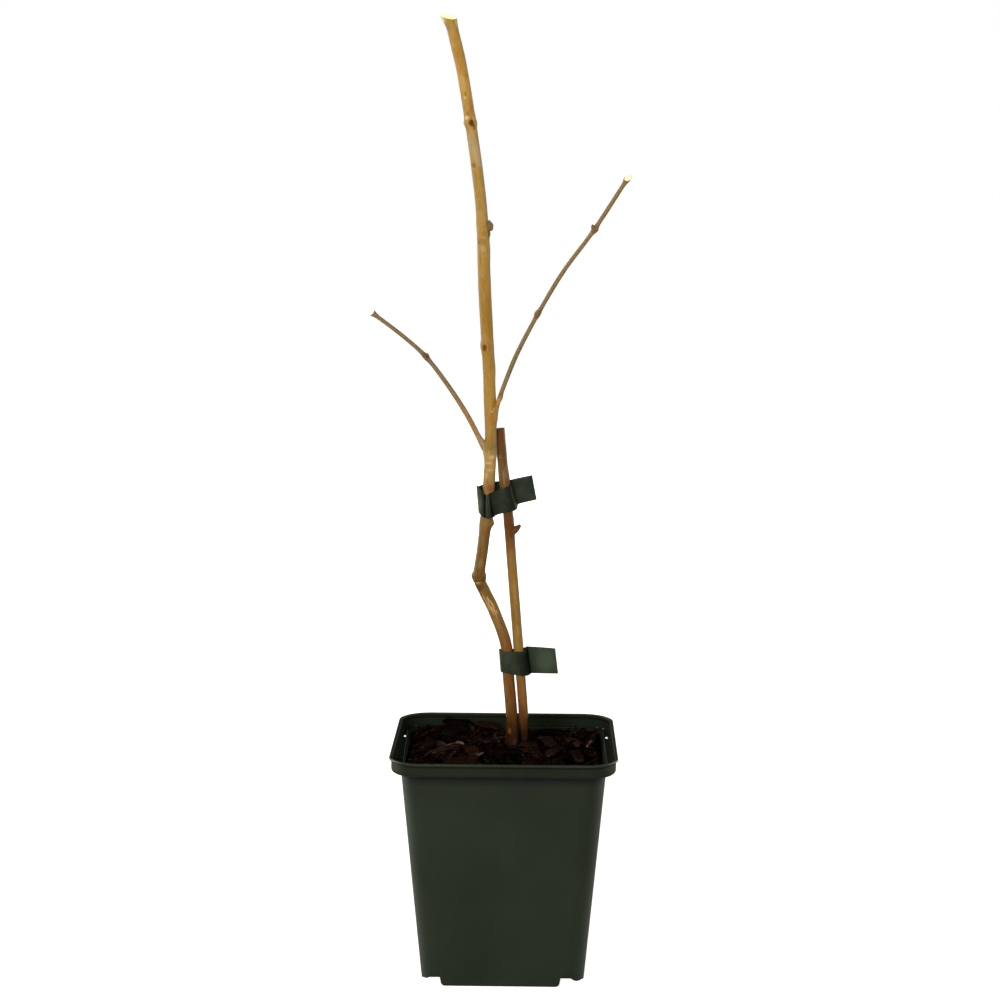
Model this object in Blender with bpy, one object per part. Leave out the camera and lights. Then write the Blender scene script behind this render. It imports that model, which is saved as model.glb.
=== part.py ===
"""Potted thornless bramble, cut back for the winter.

Two woody canes of one clump stand in a square nursery pot of mulched compost.
The tall cane bends at a swollen joint above the pot and carries two thin side
shoots; the short cane is cut off level. Two plastic bands tie the canes together.
Metres, +Z up, the pot's foot on Z = 0 and its middle on the Z axis. -Y is the front.
"""
import bmesh
import bpy
from math import acos, atan2, cos, exp, pi, radians, sin
from mathutils import Matrix, Vector, noise

MM = 0.001
GAP = 0.3                     # clear space between pieces that touch, mm

# Pot, mm
POT_HEIGHT = 135.0
RIM_HALF = 65.0               # half of the width over the rim's bead
COLLAR_HALF = 63.8
COLLAR_HEIGHT = 8.4
BODY_HALF_TOP = 58.1          # half of the wall's width just under the collar
BODY_HALF_FOOT = 46.9
CORNER_RADIUS = 12.0
COLLAR_CORNER_RADIUS = 17.7
RIM_CORNER_RADIUS = 18.9
CORNER_STEPS = 6              # straight pieces in a quarter round
WALL = 1.3
FLOOR = 1.9
LEDGE_DEPTH = 7.4             # from the rim down to the ledge inside the collar
LEDGE_LIP = 59.3              # from the middle to the small lip on the ledge
FOOT_HALF_LOW = 33.7          # half of the foot's width just above the ground
FOOT_HALF_HIGH = 34.8
FOOT_ROUND = 2.0              # radius of the foot's lower corners
FOOT_SHIFT = -1.25            # the foot's middle from the pot's, along X
FOOT_LIFT = 5.8               # how far the corners are raised off the ground
LUG_START = (39.8, 42.0)      # of a corner lug, at its root and at its end
LUG_DROP = 1.9
DRAIN_RADIUS = 3.5
DRAIN_PLACE = 38.8            # of a corner's drain hole from the middle, along X and Y
LABEL_SLOT = (1.5, 9.0)       # width and length of the slots in the ledge
LABEL_SLOT_PLACE = (60.8, 35.7)

# Compost, mm
SOIL_LEVEL = 125.0            # where the compost meets the wall
SOIL_MOUND = 3.0              # how far it rises round the canes
SOIL_RINGS = 18
SOIL_SIDE_STEPS = 5           # pieces in each straight side of the soil's rings
MOUND_MIDDLE = (7.0, 5.0)
CANE_BED = 9.0                # radius of the level place that the canes stand on

# Large chips of bark mulch, mm: X, Y, heading in degrees, length, width
BARK_CHIPS = (
    (-33.5, 1.5, 49, 28, 5), (-19.0, -9.0, 105, 21, 7.5), (-31.5, 47.5, 75, 22, 17),
    (-11.0, 50.5, 0, 15, 9), (51.3, 23.5, 81, 26, 5), (25.3, 16.8, -77, 25, 7.5),
    (40.0, 17.5, -68, 16, 5.5), (29.3, -9.8, 64, 25, 5), (17.2, -9.5, -73, 21.5, 5.5),
    (41.8, -14.8, -81, 24, 6.5), (-46.0, 14.0, 66, 18, 8), (1.5, -13.5, -10, 20, 7),
    (28.0, 44.0, -8, 20, 9), (-24.0, -33.0, -32, 23, 10),
)
CHIP_THICKNESS = 1.7
CHIP_BOW = 0.8                # rise of a chip's middle
CHIP_CLEAR = 0.5              # of a chip's underside from the surface it lies on

# Canes, mm; a route's points are X, Y and Z of the limb's middle
CANE_FOOT = 128.4
TALL_CANE_ROUTE = (
    (4.4, 4.0, CANE_FOOT), (3.9, 3.8, 147.0), (1.9, 3.6, 170.0), (0.2, 3.5, 190.5),
    (-7.0, 3.5, 210.5), (-12.2, 3.5, 221.2), (-15.5, 3.5, 230.5), (-13.3, 2.9, 250.0),
    (-10.4, 1.9, 280.0),
    (-9.2, 1.6, 315.0), (-11.0, 2.3, 360.0), (-13.5, 4.0, 408.0), (-15.4, 4.9, 445.0),
    (-20.6, 6.3, 485.0), (-27.2, 7.8, 524.0), (-33.9, 9.0, 551.0),
)
TALL_CANE_RADIUS = (3.35, 3.05)
SHORT_CANE_ROUTE = (
    (11.7, 4.6, CANE_FOOT), (10.7, 3.2, 150.0), (7.3, 2.6, 192.0), (3.3, 4.2, 240.0),
    (1.3, 5.1, 265.0), (-2.1, 6.4, 294.0), (-4.3, 7.3, 317.0),
)
SHORT_CANE_RADIUS = (2.75, 2.95)
LEFT_SHOOT_ROUTE = (
    (-9.9, 1.7, 303.0), (-15.2, 2.8, 310.5), (-22.9, 5.6, 324.4), (-34.9, 9.8, 342.2),
    (-47.0, 13.0, 357.4), (-60.8, 15.4, 369.5), (-79.6, 18.2, 383.3),
)
LEFT_SHOOT_RADIUS = (1.55, 1.12)
RIGHT_SHOOT_ROUTE = (
    (-8.6, 1.4, 318.5), (-6.0, 0.4, 329.0), (-2.2, -1.4, 341.0), (6.0, -5.0, 361.6),
    (17.8, -9.2, 384.5), (31.6, -14.5, 408.0), (48.8, -20.2, 431.9), (67.1, -26.5, 460.7),
)
RIGHT_SHOOT_RADIUS = (1.32, 1.12)
CANE_SIDES = 14
SHOOT_SIDES = 10
RING_STEP = 3.2

# Stub of a leaf stalk on the short cane, mm
STUB_FOOT = (2.2, 5.0, 256.4)
STUB_TIP = (8.3, 4.4, 260.6)
STUB_RADII = (2.7, 0.8)

# Plastic bands, mm
BAND_HEIGHT = 14.2
BAND_THICKNESS = 0.6
BAND_LEVELS = 6
PINCH_AWAY = 1.6              # where the two ends meet, from the side of the short cane
PINCH_BACK = 2.2              # and behind its middle
UPPER_BAND_MIDDLE = 277.2     # height of the band's middle on the tall cane
LOWER_BAND_MIDDLE = 180.0
UPPER_BAND_LEAN = radians(10.0)
LOWER_BAND_LEAN = radians(4.5)
UPPER_TAB = 11.0              # length of the doubled end past the short cane
LOWER_TAB = 18.4
UPPER_TAB_TURN = radians(0.0)
LOWER_TAB_TURN = radians(-25.0)
UPPER_BAND_ROOM = (4.6, 3.6)  # radii that the band leaves to the tall and the short cane
LOWER_BAND_ROOM = (3.6, 2.95)
UPPER_BAND_DROOP = 3.6        # how far a band's front left corner hangs down
LOWER_BAND_DROOP = 0.3

# Colours
POT_GREEN = (0.021, 0.027, 0.016)
COMPOST_BROWN = (0.012, 0.006, 0.004)
CHIP_BROWN = (0.045, 0.020, 0.014)
CANE_OCHRE = (0.34, 0.19, 0.06)
OLD_CANE_BROWN = (0.22, 0.11, 0.03)
SHOOT_TAN = (0.25, 0.15, 0.07)
BAND_GREEN = (0.026, 0.034, 0.024)


def clear_scene():
    """Remove every object, so the part starts alone."""
    for item in list(bpy.data.objects):
        bpy.data.objects.remove(item, do_unlink=True)


def plain_material(name, colour, roughness):
    """A Principled material with one colour."""
    material = bpy.data.materials.new(name)
    material.use_nodes = True
    shader = material.node_tree.nodes["Principled BSDF"]
    shader.inputs["Base Color"].default_value = (*colour, 1.0)
    shader.inputs["Roughness"].default_value = roughness
    shader.inputs["Metallic"].default_value = 0.0
    return material


def finish_object(name, mesh, material=None, smooth=None):
    """Scale a mesh drawn in millimetres to metres and put it in the scene as an object."""
    mesh.transform(Matrix.Scale(MM, 4))
    mesh.name = name
    item = bpy.data.objects.new(name, mesh)
    bpy.context.scene.collection.objects.link(item)
    if material:
        mesh.materials.append(material)
    if smooth:
        mesh.shade_smooth()
        mesh.set_sharp_from_angle(angle=smooth)
    return item


def hide_helper(item):
    """Mark a cutter or guide, which is no piece of the plant."""
    item.hide_render = True
    item.display_type = "WIRE"
    return item


def boolean(item, other, operation):
    """Cut or join one object with another."""
    step = item.modifiers.new(operation.title(), "BOOLEAN")
    step.operation = operation
    step.solver = "EXACT"
    step.object = other
    return step


def bridge_rings(bm, rings):
    """Skin a row of rings of equal length with quads."""
    for low, high in zip(rings, rings[1:]):
        count = len(low)
        for i in range(count):
            j = (i + 1) % count
            bm.faces.new((low[i], low[j], high[j], high[i]))


def fan(bm, ring, centre, upward):
    """Close a ring with triangles that meet at a middle point."""
    middle = bm.verts.new(centre)
    count = len(ring)
    for i in range(count):
        j = (i + 1) % count
        corners = (ring[i], ring[j], middle) if upward else (ring[j], ring[i], middle)
        bm.faces.new(corners)


def closed_mesh(bm, name):
    """Point all faces outwards and hand over the mesh."""
    bmesh.ops.recalc_face_normals(bm, faces=bm.faces)
    mesh = bpy.data.meshes.new(name)
    bm.to_mesh(mesh)
    bm.free()
    return mesh


def rounded_square(half, radius, side_steps=1):
    """Points of a square with round corners, anticlockwise from the right side."""
    points = []
    for quarter in range(4):
        turn = quarter * pi / 2
        spin = Matrix.Rotation(turn, 3, "Z")
        corner = spin @ Vector((half - radius, half - radius, 0.0))
        for step in range(CORNER_STEPS + 1):
            angle = turn + step / CORNER_STEPS * pi / 2
            points.append((corner.x + radius * cos(angle), corner.y + radius * sin(angle)))
        for step in range(1, side_steps):
            along = (half - radius) * (1.0 - 2.0 * step / side_steps)
            side = spin @ Vector((along, half, 0.0))
            points.append((side.x, side.y))
    return points


def square_loft(name, profile):
    """Closed solid through rounded squares; each has a half width, a height and a corner radius."""
    bm = bmesh.new()
    rings = []
    for half, height, radius in profile:
        rings.append([bm.verts.new((x, y, height)) for x, y in rounded_square(half, radius)])
    bridge_rings(bm, rings)
    fan(bm, rings[0], (0, 0, profile[0][1]), upward=False)
    fan(bm, rings[-1], (0, 0, profile[-1][1]), upward=True)
    return closed_mesh(bm, name)


def body_half(height):
    """Half of the pot wall's outer width at a height above the ground."""
    top = POT_HEIGHT - COLLAR_HEIGHT - 1.6
    return BODY_HALF_FOOT + (BODY_HALF_TOP - BODY_HALF_FOOT) * height / top


def boxes(name, spans):
    """Several separate boxes as one mesh; each span is a low and a high corner."""
    bm = bmesh.new()
    for low, high in spans:
        made = bmesh.ops.create_cube(bm, size=1.0)
        centre = [(a + b) / 2 for a, b in zip(low, high)]
        size = [b - a for a, b in zip(low, high)]
        bmesh.ops.scale(bm, vec=size, verts=made["verts"])
        bmesh.ops.translate(bm, vec=centre, verts=made["verts"])
    return closed_mesh(bm, name)


def corner_prisms(name, levels, reach):
    """Four corner blocks; levels: heights, where the inner sides start there and where a lug does."""
    bm = bmesh.new()
    for turn in range(4):
        spin = Matrix.Rotation(turn * pi / 2, 3, "Z")
        rings = []
        for height, start, *lug in levels:
            outline = [(start, start), (reach, start), (reach, reach), (start, reach)]
            if lug:
                outline[2:3] = [(reach, lug[0]), (lug[0], lug[0]), (lug[0], reach)]
            rings.append([bm.verts.new(spin @ Vector((x, y, height))) for x, y in outline])
        bridge_rings(bm, rings)
        bm.faces.new(list(reversed(rings[0])))
        bm.faces.new(rings[-1])
    bmesh.ops.translate(bm, vec=(FOOT_SHIFT, 0.0, 0.0), verts=bm.verts)
    return closed_mesh(bm, name)


def drain_cutters():
    """Upright cylinders through the raised corners of the pot's floor."""
    bm = bmesh.new()
    for x in (-DRAIN_PLACE, DRAIN_PLACE):
        for y in (-DRAIN_PLACE, DRAIN_PLACE):
            made = bmesh.ops.create_cone(
                bm, cap_ends=True, segments=12, radius1=DRAIN_RADIUS, radius2=DRAIN_RADIUS,
                depth=FOOT_LIFT + FLOOR + 4.0)
            bmesh.ops.translate(bm, vec=(x, y, FOOT_LIFT + FLOOR / 2), verts=made["verts"])
    return closed_mesh(bm, "drain_cutters")


def pot_outside():
    """Rings of the pot's outer shape, foot to rim."""
    top = POT_HEIGHT
    under = top - COLLAR_HEIGHT
    return (
        (BODY_HALF_FOOT - 0.3, 0.0, CORNER_RADIUS - 0.3),
        (BODY_HALF_FOOT, 0.5, CORNER_RADIUS),
        (BODY_HALF_TOP, under - 1.6, CORNER_RADIUS),
        (BODY_HALF_TOP + 0.5, under - 0.5, CORNER_RADIUS + 0.5),
        (BODY_HALF_TOP + 1.8, under, CORNER_RADIUS + 1.8),
        (COLLAR_HALF - 1.2, under + 0.1, COLLAR_CORNER_RADIUS - 1.2),
        (COLLAR_HALF - 0.3, under + 0.8, COLLAR_CORNER_RADIUS - 0.3),
        (COLLAR_HALF, under + 1.8, COLLAR_CORNER_RADIUS),
        (COLLAR_HALF, top - 2.3, COLLAR_CORNER_RADIUS),
        (RIM_HALF, top - 1.7, RIM_CORNER_RADIUS),
        (RIM_HALF, top - 0.4, RIM_CORNER_RADIUS),
        (RIM_HALF - 0.5, top, RIM_CORNER_RADIUS - 0.5),
    )


def cavity_profile(clear, floor, top):
    """Rings of the space inside the pot, floor to top, held off the wall by a clear distance."""
    ledge = POT_HEIGHT - LEDGE_DEPTH
    wall = BODY_HALF_TOP - WALL - clear
    radius = CORNER_RADIUS - WALL - clear
    rings = [
        (body_half(floor) - WALL - clear, floor, radius),
        (wall, ledge - 5.0, radius),
    ]
    if top > ledge:
        collar = COLLAR_HALF - WALL
        collar_radius = COLLAR_CORNER_RADIUS - WALL
        rings += [
            (wall + 0.4, ledge - 2.2, radius + 0.4),
            (LEDGE_LIP - 1.0, ledge - 0.6, radius + 1.5),
            (LEDGE_LIP, ledge, radius + 2.5),
            (LEDGE_LIP + 0.7, ledge - 0.2, radius + 3.2),
            (collar - 0.6, ledge - 0.2, collar_radius - 0.6),
            (collar, ledge + 0.4, collar_radius),
            (collar + 0.3, POT_HEIGHT - 0.4, collar_radius + 0.3),
            (collar + 0.8, POT_HEIGHT + 0.4, collar_radius + 0.8),
        ]
    return rings


def raised_corners(name, clear):
    """Blocks that lift the floor of the cavity over the pot's raised corners."""
    high = FOOT_LIFT + FLOOR + clear
    start = FOOT_HALF_LOW - FLOOR - clear
    return hide_helper(finish_object(
        name, corner_prisms(name, ((-2.0, start), (high, start + 1.2)), RIM_HALF)))


def make_pot(material):
    """Square pot with a collar, a ledge inside it, a cross-shaped foot and raised corners."""
    pot = finish_object("pot", square_loft("pot", pot_outside()), material, radians(35))
    cavity = hide_helper(finish_object(
        "pot_cavity", square_loft("pot_cavity", cavity_profile(0.0, FLOOR, POT_HEIGHT + 1.0))))
    boolean(cavity, raised_corners("pot_floor_corners", 0.0), "DIFFERENCE")
    boolean(pot, cavity, "DIFFERENCE")

    lug_foot = FOOT_LIFT - LUG_DROP
    flank = (FOOT_HALF_HIGH - FOOT_HALF_LOW) / FOOT_LIFT
    below = [(-1.0, FOOT_HALF_LOW - FOOT_ROUND)]
    for degrees in (0, 30, 60, 90):
        height = FOOT_ROUND * (1.0 - cos(radians(degrees)))
        inset = FOOT_ROUND * (1.0 - sin(radians(degrees)))
        below.append((height, FOOT_HALF_LOW + flank * height - inset))
    middle = FOOT_HALF_LOW + flank * lug_foot
    below.append((lug_foot, middle))
    beside = ((lug_foot - 0.01, middle, LUG_START[1]), (FOOT_LIFT, FOOT_HALF_HIGH, LUG_START[0]))
    for name, levels in (("foot_cut_low", below), ("foot_cut_high", beside)):
        cutter = hide_helper(finish_object(name, corner_prisms(name, levels, RIM_HALF)))
        boolean(pot, cutter, "DIFFERENCE")
    boolean(pot, hide_helper(finish_object("drain_cutters", drain_cutters())), "DIFFERENCE")

    wide, long = LABEL_SLOT
    ledge = POT_HEIGHT - LEDGE_DEPTH
    spans = []
    across, middle = LABEL_SLOT_PLACE
    for x in (-across, across):
        spans.append(((x - wide / 2, middle - long / 2, ledge - 3.0),
                      (x + wide / 2, middle + long / 2, ledge + 1.0)))
    slots = hide_helper(finish_object("label_slots", boxes("label_slots", spans)))
    boolean(pot, slots, "DIFFERENCE")
    return pot


def soil_height(x, y):
    """Height of the compost's surface: a mound round the canes, humps of mulch, a level bed."""
    away = Vector((x - MOUND_MIDDLE[0], y - MOUND_MIDDLE[1])).length
    bed = CANE_FOOT - GAP
    mound = SOIL_LEVEL + SOIL_MOUND * exp(-(away / 32.0) ** 2)
    humps = 1.5 * noise.noise(Vector((x / 17.0, y / 14.0, 3.7)))
    back_left = 6.0 * exp(-((x + 29.0) / 20.0) ** 2 - ((y - 60.0) / 15.0) ** 2)
    free = mound + humps + back_left
    share = min(max((away - CANE_BED) / 8.0, 0.0), 1.0)
    return bed + (free - bed) * share * share * (3 - 2 * share)


def make_soil(material):
    """Compost that fills the pot, with an uneven top."""
    bm = bmesh.new()
    profile = cavity_profile(GAP, FLOOR + GAP, SOIL_LEVEL - 2.0)
    rings = []
    for half, height, radius in profile:
        outline = rounded_square(half, radius, SOIL_SIDE_STEPS)
        rings.append([bm.verts.new((x, y, height)) for x, y in outline])
    half, height, radius = profile[-1]
    edge = rounded_square(half, radius, SOIL_SIDE_STEPS)
    middle = Vector(MOUND_MIDDLE)
    for ring in range(SOIL_RINGS):
        share = 1.0 - ring / SOIL_RINGS
        points = []
        for point in edge:
            x, y = middle + (Vector(point) - middle) * share
            points.append(bm.verts.new((x, y, soil_height(x, y))))
        rings.append(points)
    bridge_rings(bm, rings)
    fan(bm, rings[0], (0, 0, profile[0][1]), upward=False)
    fan(bm, rings[-1], (*MOUND_MIDDLE, soil_height(*MOUND_MIDDLE)), upward=True)
    soil = finish_object("compost", closed_mesh(bm, "compost"), material, radians(40))
    boolean(soil, raised_corners("soil_floor_corners", GAP), "DIFFERENCE")
    return soil


def chip_mesh(name, x, y, heading, length, width, seed):
    """A bowed flake of bark with ragged ends, lying on the compost."""
    lengthwise = Vector((cos(heading), sin(heading), 0.0))
    sideways = Vector((-lengthwise.y, lengthwise.x, 0.0))

    def ground(along, across):
        place = Vector((x, y, 0.0)) + lengthwise * along + sideways * across
        return Vector((place.x, place.y, soil_height(place.x, place.y)))

    middle = ground(0.0, 0.0)
    ahead = (ground(length / 2, 0.0) - ground(-length / 2, 0.0)).normalized()
    aside = (ground(0.0, width / 2) - ground(0.0, -width / 2)).normalized()
    up = ahead.cross(aside).normalized()
    bm = bmesh.new()
    rings = []
    sections = 6
    for i in range(sections + 1):
        share = i / sections
        along = (share - 0.5) * length
        ragged = 0.22 * noise.noise(Vector((seed * 5.3, share * 4.0, 0.0)))
        half = width / 2 * (1.0 - 0.45 * abs(2 * share - 1) ** 3 + ragged)
        rise = CHIP_BOW * (1 - (2 * share - 1) ** 2)
        thick = CHIP_THICKNESS * (1.0 - 0.4 * abs(2 * share - 1) ** 2)
        shift = 0.12 * width * noise.noise(Vector((seed * 3.1, share * 3.0, 9.0)))
        outline = ((-0.9, 0.0), (0.9, 0.0), (1.0, 0.45), (0.8, 1.0), (-0.7, 0.9), (-1.0, 0.4))
        base = middle + ahead * along + up * rise
        rings.append([bm.verts.new(base + aside * (across * half + shift) + up * (level * thick))
                      for across, level in outline])
    bridge_rings(bm, rings)
    bm.faces.new(list(reversed(rings[0])))
    bm.faces.new(rings[-1])
    clearance = min(v.co.z - soil_height(v.co.x, v.co.y) for v in bm.verts)
    bmesh.ops.translate(bm, vec=(0, 0, CHIP_CLEAR - clearance), verts=bm.verts)
    return closed_mesh(bm, name)


def make_chips(material):
    """The large chips of the mulch."""
    for number, (x, y, heading, length, width) in enumerate(BARK_CHIPS, start=1):
        name = f"bark_chip_{number}"
        finish_object(name, chip_mesh(name, x, y, radians(heading), length, width, number),
                      material, radians(30))


def smooth_route(knots, step):
    """Points at equal steps along a smooth curve through the knots."""
    points = [Vector(knot) for knot in knots]
    ends = [2 * points[0] - points[1]] + points + [2 * points[-1] - points[-2]]
    fine = []
    for a, b, c, d in zip(ends, ends[1:], ends[2:], ends[3:]):
        parts = 24
        for i in range(parts):
            t = i / parts
            fine.append(0.5 * (2 * b + (c - a) * t + (2 * a - 5 * b + 4 * c - d) * t ** 2
                               + (3 * b - a - 3 * c + d) * t ** 3))
    fine.append(points[-1])
    lengths = [0.0]
    for a, b in zip(fine, fine[1:]):
        lengths.append(lengths[-1] + (b - a).length)
    count = max(2, round(lengths[-1] / step))
    route = []
    at = 0
    for i in range(count + 1):
        want = lengths[-1] * i / count
        while at < len(lengths) - 2 and lengths[at + 1] < want:
            at += 1
        span = lengths[at + 1] - lengths[at]
        share = (want - lengths[at]) / span if span else 0.0
        route.append(fine[at].lerp(fine[at + 1], min(share, 1.0)))
    return route


def bump(distance, width):
    """A smooth hump, one at its middle and near nought a width away."""
    return exp(-(distance / width) ** 2 * 2.0)


def limb(name, knots, radii, sides, swellings=(), buds=(), flare=None, cut=(0.0, 0.0), grow=0.0,
         flat_foot=False):
    """One tapering stem.

    swellings: height, size and length of each thickened ring.
    buds: height, angle round the stem, size and length of each knob; angle 0 is right, -90 front.
    flare: size, height and lobes of the thickened foot.
    cut: how far the top's cut face leans to the right and to the front, as slopes.
    """
    route = smooth_route(knots, RING_STEP)
    low, high = route[0].z, route[-1].z
    bm = bmesh.new()
    rings = []
    last = len(route) - 1
    for i, centre in enumerate(route):
        ahead = route[min(i + 1, last)] - route[max(i - 1, 0)]
        tangent = ahead.normalized()
        if flat_foot and i == 0:
            tangent = Vector((0, 0, 1))
        side = Vector((0, 1, 0)).cross(tangent).normalized()
        back = tangent.cross(side)
        share = (centre.z - low) / (high - low)
        base = radii[0] + (radii[1] - radii[0]) * share
        for height, size, length in swellings:
            base += size * bump(centre.z - height, length)
        ring = []
        for k in range(sides):
            angle = 2 * pi * k / sides
            radius = base + grow
            for height, where, size, length in buds:
                turn = (angle - radians(where) + pi) % (2 * pi) - pi
                radius += size * bump(centre.z - height, length) * bump(turn, 1.0)
            if flare:
                size, reach, toes = flare
                lobes = max(bump((angle - radians(toe) + pi) % (2 * pi) - pi, 0.9) for toe in toes)
                radius += size * exp(-(centre.z - low) / reach) * (0.35 + 0.65 * lobes)
            point = centre + side * (cos(angle) * radius) + back * (sin(angle) * radius)
            if i == last:
                lean = cut[0] * cos(angle) - cut[1] * sin(angle)
                point -= tangent * lean * radius
            ring.append(bm.verts.new(point))
        rings.append(ring)
    bridge_rings(bm, rings)
    fan(bm, rings[0], sum((v.co for v in rings[0]), Vector()) / sides, upward=False)
    fan(bm, rings[-1], sum((v.co for v in rings[-1]), Vector()) / sides, upward=True)
    return closed_mesh(bm, name)


def tall_cane_mesh(name, grow=0.0):
    """The tall cane, with its swollen bend, rings, buds and slanted cut top."""
    swellings = (
        (549.0, 0.6, 5.0), (492.5, 0.25, 4.0), (434.0, 0.3, 5.0), (364.0, 0.3, 5.0),
        (327.0, 0.35, 7.0), (303.0, 0.35, 5.0), (262.0, 0.3, 5.0), (230.5, 0.75, 3.6),
        (291.0, 0.25, 18.0),
    )
    buds = (
        (492.0, -90, 0.9, 3.2), (433.6, 0, 1.9, 3.0), (364.5, -110, 0.9, 4.0), (262.5, 0, 1.5, 3.2),
        (230.0, -70, 1.0, 3.0), (230.0, 0, 0.1, 3.0), (324.0, 0, 0.8, 6.0), (305.0, 180, 0.8, 6.0),
        (551.5, 180, 1.9, 3.2),
    )
    return limb(name, TALL_CANE_ROUTE, TALL_CANE_RADIUS, CANE_SIDES, swellings, buds,
                flare=(2.0, 7.0, (200, -40)), cut=(0.45, 0.35), grow=grow, flat_foot=True)


def short_cane_mesh(name, grow=0.0):
    """The short cane, cut off level."""
    swellings = ((288.0, 0.35, 7.0), (262.0, 0.2, 8.0), (190.0, 0.1, 10.0))
    buds = ((285.5, -60, 0.5, 4.0),)
    return limb(name, SHORT_CANE_ROUTE, SHORT_CANE_RADIUS, CANE_SIDES, swellings, buds,
                flare=(-0.6, 4.0, (0, 90, 180, 270)), grow=grow, flat_foot=True)


def make_canes(tall_material, short_material):
    """Both canes; the stub of a leaf stalk is fused to the short one."""
    tall = finish_object("tall_cane", tall_cane_mesh("tall_cane"), tall_material, radians(60))
    short = finish_object("short_cane", short_cane_mesh("short_cane"), short_material, radians(60))
    foot, tip = Vector(STUB_FOOT), Vector(STUB_TIP)
    knots = (foot, foot.lerp(tip, 0.5), tip)
    stub = hide_helper(finish_object("stub_form", limb("stub_form", knots, STUB_RADII, 8)))
    boolean(short, stub, "UNION")
    return tall, short


def make_shoots(material):
    """The two side shoots, cut clear of the tall cane that they grow from."""
    cane_room = hide_helper(finish_object("cane_room", tall_cane_mesh("cane_room", grow=GAP)))
    left = limb(
        "left_shoot", LEFT_SHOOT_ROUTE, LEFT_SHOOT_RADIUS, SHOOT_SIDES,
        swellings=((307.0, 1.1, 7.0), (357.6, 0.45, 2.4), (383.0, 0.75, 2.6)),
        buds=((357.8, 60, 0.6, 2.4),), cut=(0.1, 0.9))
    right = limb(
        "right_shoot", RIGHT_SHOOT_ROUTE, RIGHT_SHOOT_RADIUS, SHOOT_SIDES,
        swellings=((322.0, 1.2, 12.0), (331.5, 0.35, 4.0), (383.8, 0.4, 2.6), (432.2, 0.45, 2.6),
                   (460.3, 0.75, 3.0)),
        buds=((432.4, -20, 0.6, 2.6), (384.0, 160, 0.5, 2.6)), cut=(-0.35, 0.9))
    shoots = []
    for mesh in (left, right):
        shoot = finish_object(mesh.name, mesh, material, radians(60))
        boolean(shoot, cane_room, "DIFFERENCE")
        shoots.append(shoot)
    return shoots


def where_route_meets(route, origin, axis):
    """The point where a limb's middle line passes through a plane."""
    for low, high in zip(route, route[1:]):
        below = (low - origin).dot(axis)
        above = (high - origin).dot(axis)
        if below <= 0.0 <= above:
            return low.lerp(high, -below / (above - below))
    raise ValueError("the band lies past the end of a cane")


def arc(centre, radius, start, end, steps):
    """Points of an arc from one angle to another."""
    points = []
    for i in range(steps + 1):
        angle = start + (end - start) * i / steps
        points.append(centre + radius * Vector((cos(angle), sin(angle))))
    return points


def band_line(tall, tall_radius, short, short_radius, tab, tab_turn, tab_root):
    """Middle line of a band in its own plane: in along the tab's front, round both canes, out."""
    across = tall - short
    facing = atan2(across.y, across.x) % (2 * pi)
    swing = acos((short_radius - tall_radius) / across.length)
    half_tab = Vector((0.0, (BAND_THICKNESS + GAP) / 2))
    reach = Vector((short_radius + PINCH_AWAY, PINCH_BACK))
    leave = acos(short_radius / reach.length)
    aim = atan2(reach.y, reach.x)
    front_normal = facing + swing - 2 * pi
    back_normal = facing - swing - 2 * pi

    tab_way = Vector((cos(tab_turn), sin(tab_turn)))
    tab_points = [tab_root + tab_way * (tab * share) for share in (0.04, 0.5, 1.0)]
    line = [point - half_tab for point in reversed(tab_points)]
    line += arc(short, short_radius, aim - leave, front_normal, 5)
    line += arc(tall, tall_radius, front_normal, back_normal, 10)
    line += arc(short, short_radius, back_normal, aim + leave - 2 * pi, 3)
    line += [point + half_tab for point in tab_points]
    return line


def band_rows(middle, lean, tab, tab_turn, room_round, droop):
    """Rows of points across a band, from its lower edge to its upper edge."""
    tall = smooth_route(TALL_CANE_ROUTE, 1.0)
    short = smooth_route(SHORT_CANE_ROUTE, 1.0)
    axis = Vector((-sin(lean), 0, cos(lean)))
    right = Vector((cos(lean), 0, sin(lean)))
    back = Vector((0, 1, 0))
    origin = where_route_meets(tall, Vector((0, 0, middle)), Vector((0, 0, 1)))
    room = GAP + BAND_THICKNESS / 2
    tall_room, short_room = (radius + room for radius in room_round)

    def cane_middles(at):
        middles = []
        for route in (tall, short):
            point = where_route_meets(route, at, axis) - at
            middles.append(Vector((point.dot(right), point.dot(back))))
        return middles

    tab_root = cane_middles(origin)[1] + Vector((short_room + PINCH_AWAY, PINCH_BACK))
    rows = []
    for level in range(BAND_LEVELS + 1):
        at = origin + axis * BAND_HEIGHT * (level / BAND_LEVELS - 0.5)
        tall_at, short_at = cane_middles(at)
        line = band_line(tall_at, tall_room, short_at, short_room, tab, tab_turn, tab_root)
        row = []
        for point in line:
            leftward = min(max((short_at.x - point.x) / (short_at.x - tall_at.x), 0.0), 1.0)
            forward = min(max(0.5 - (point.y - tall_at.y) / (2 * tall_room), 0.0), 1.0)
            sunk = droop * leftward * forward
            row.append(at + right * point.x + back * point.y - axis * sunk)
        rows.append(row)
    return rows


def make_band(name, material, *shape):
    """A strip of plastic laid round both canes, its two ends together as a tab on the right."""
    bm = bmesh.new()
    rows = [[bm.verts.new(point) for point in row] for row in band_rows(*shape)]
    for low, high in zip(rows, rows[1:]):
        for i in range(len(low) - 1):
            bm.faces.new((low[i], low[i + 1], high[i + 1], high[i]))
    mesh = bpy.data.meshes.new(name)
    bm.to_mesh(mesh)
    bm.free()
    band = finish_object(name, mesh, material, radians(40))
    solid = band.modifiers.new("Thickness", "SOLIDIFY")
    solid.thickness = BAND_THICKNESS * MM
    solid.offset = 0.0
    solid.use_even_offset = True
    return band


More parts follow.
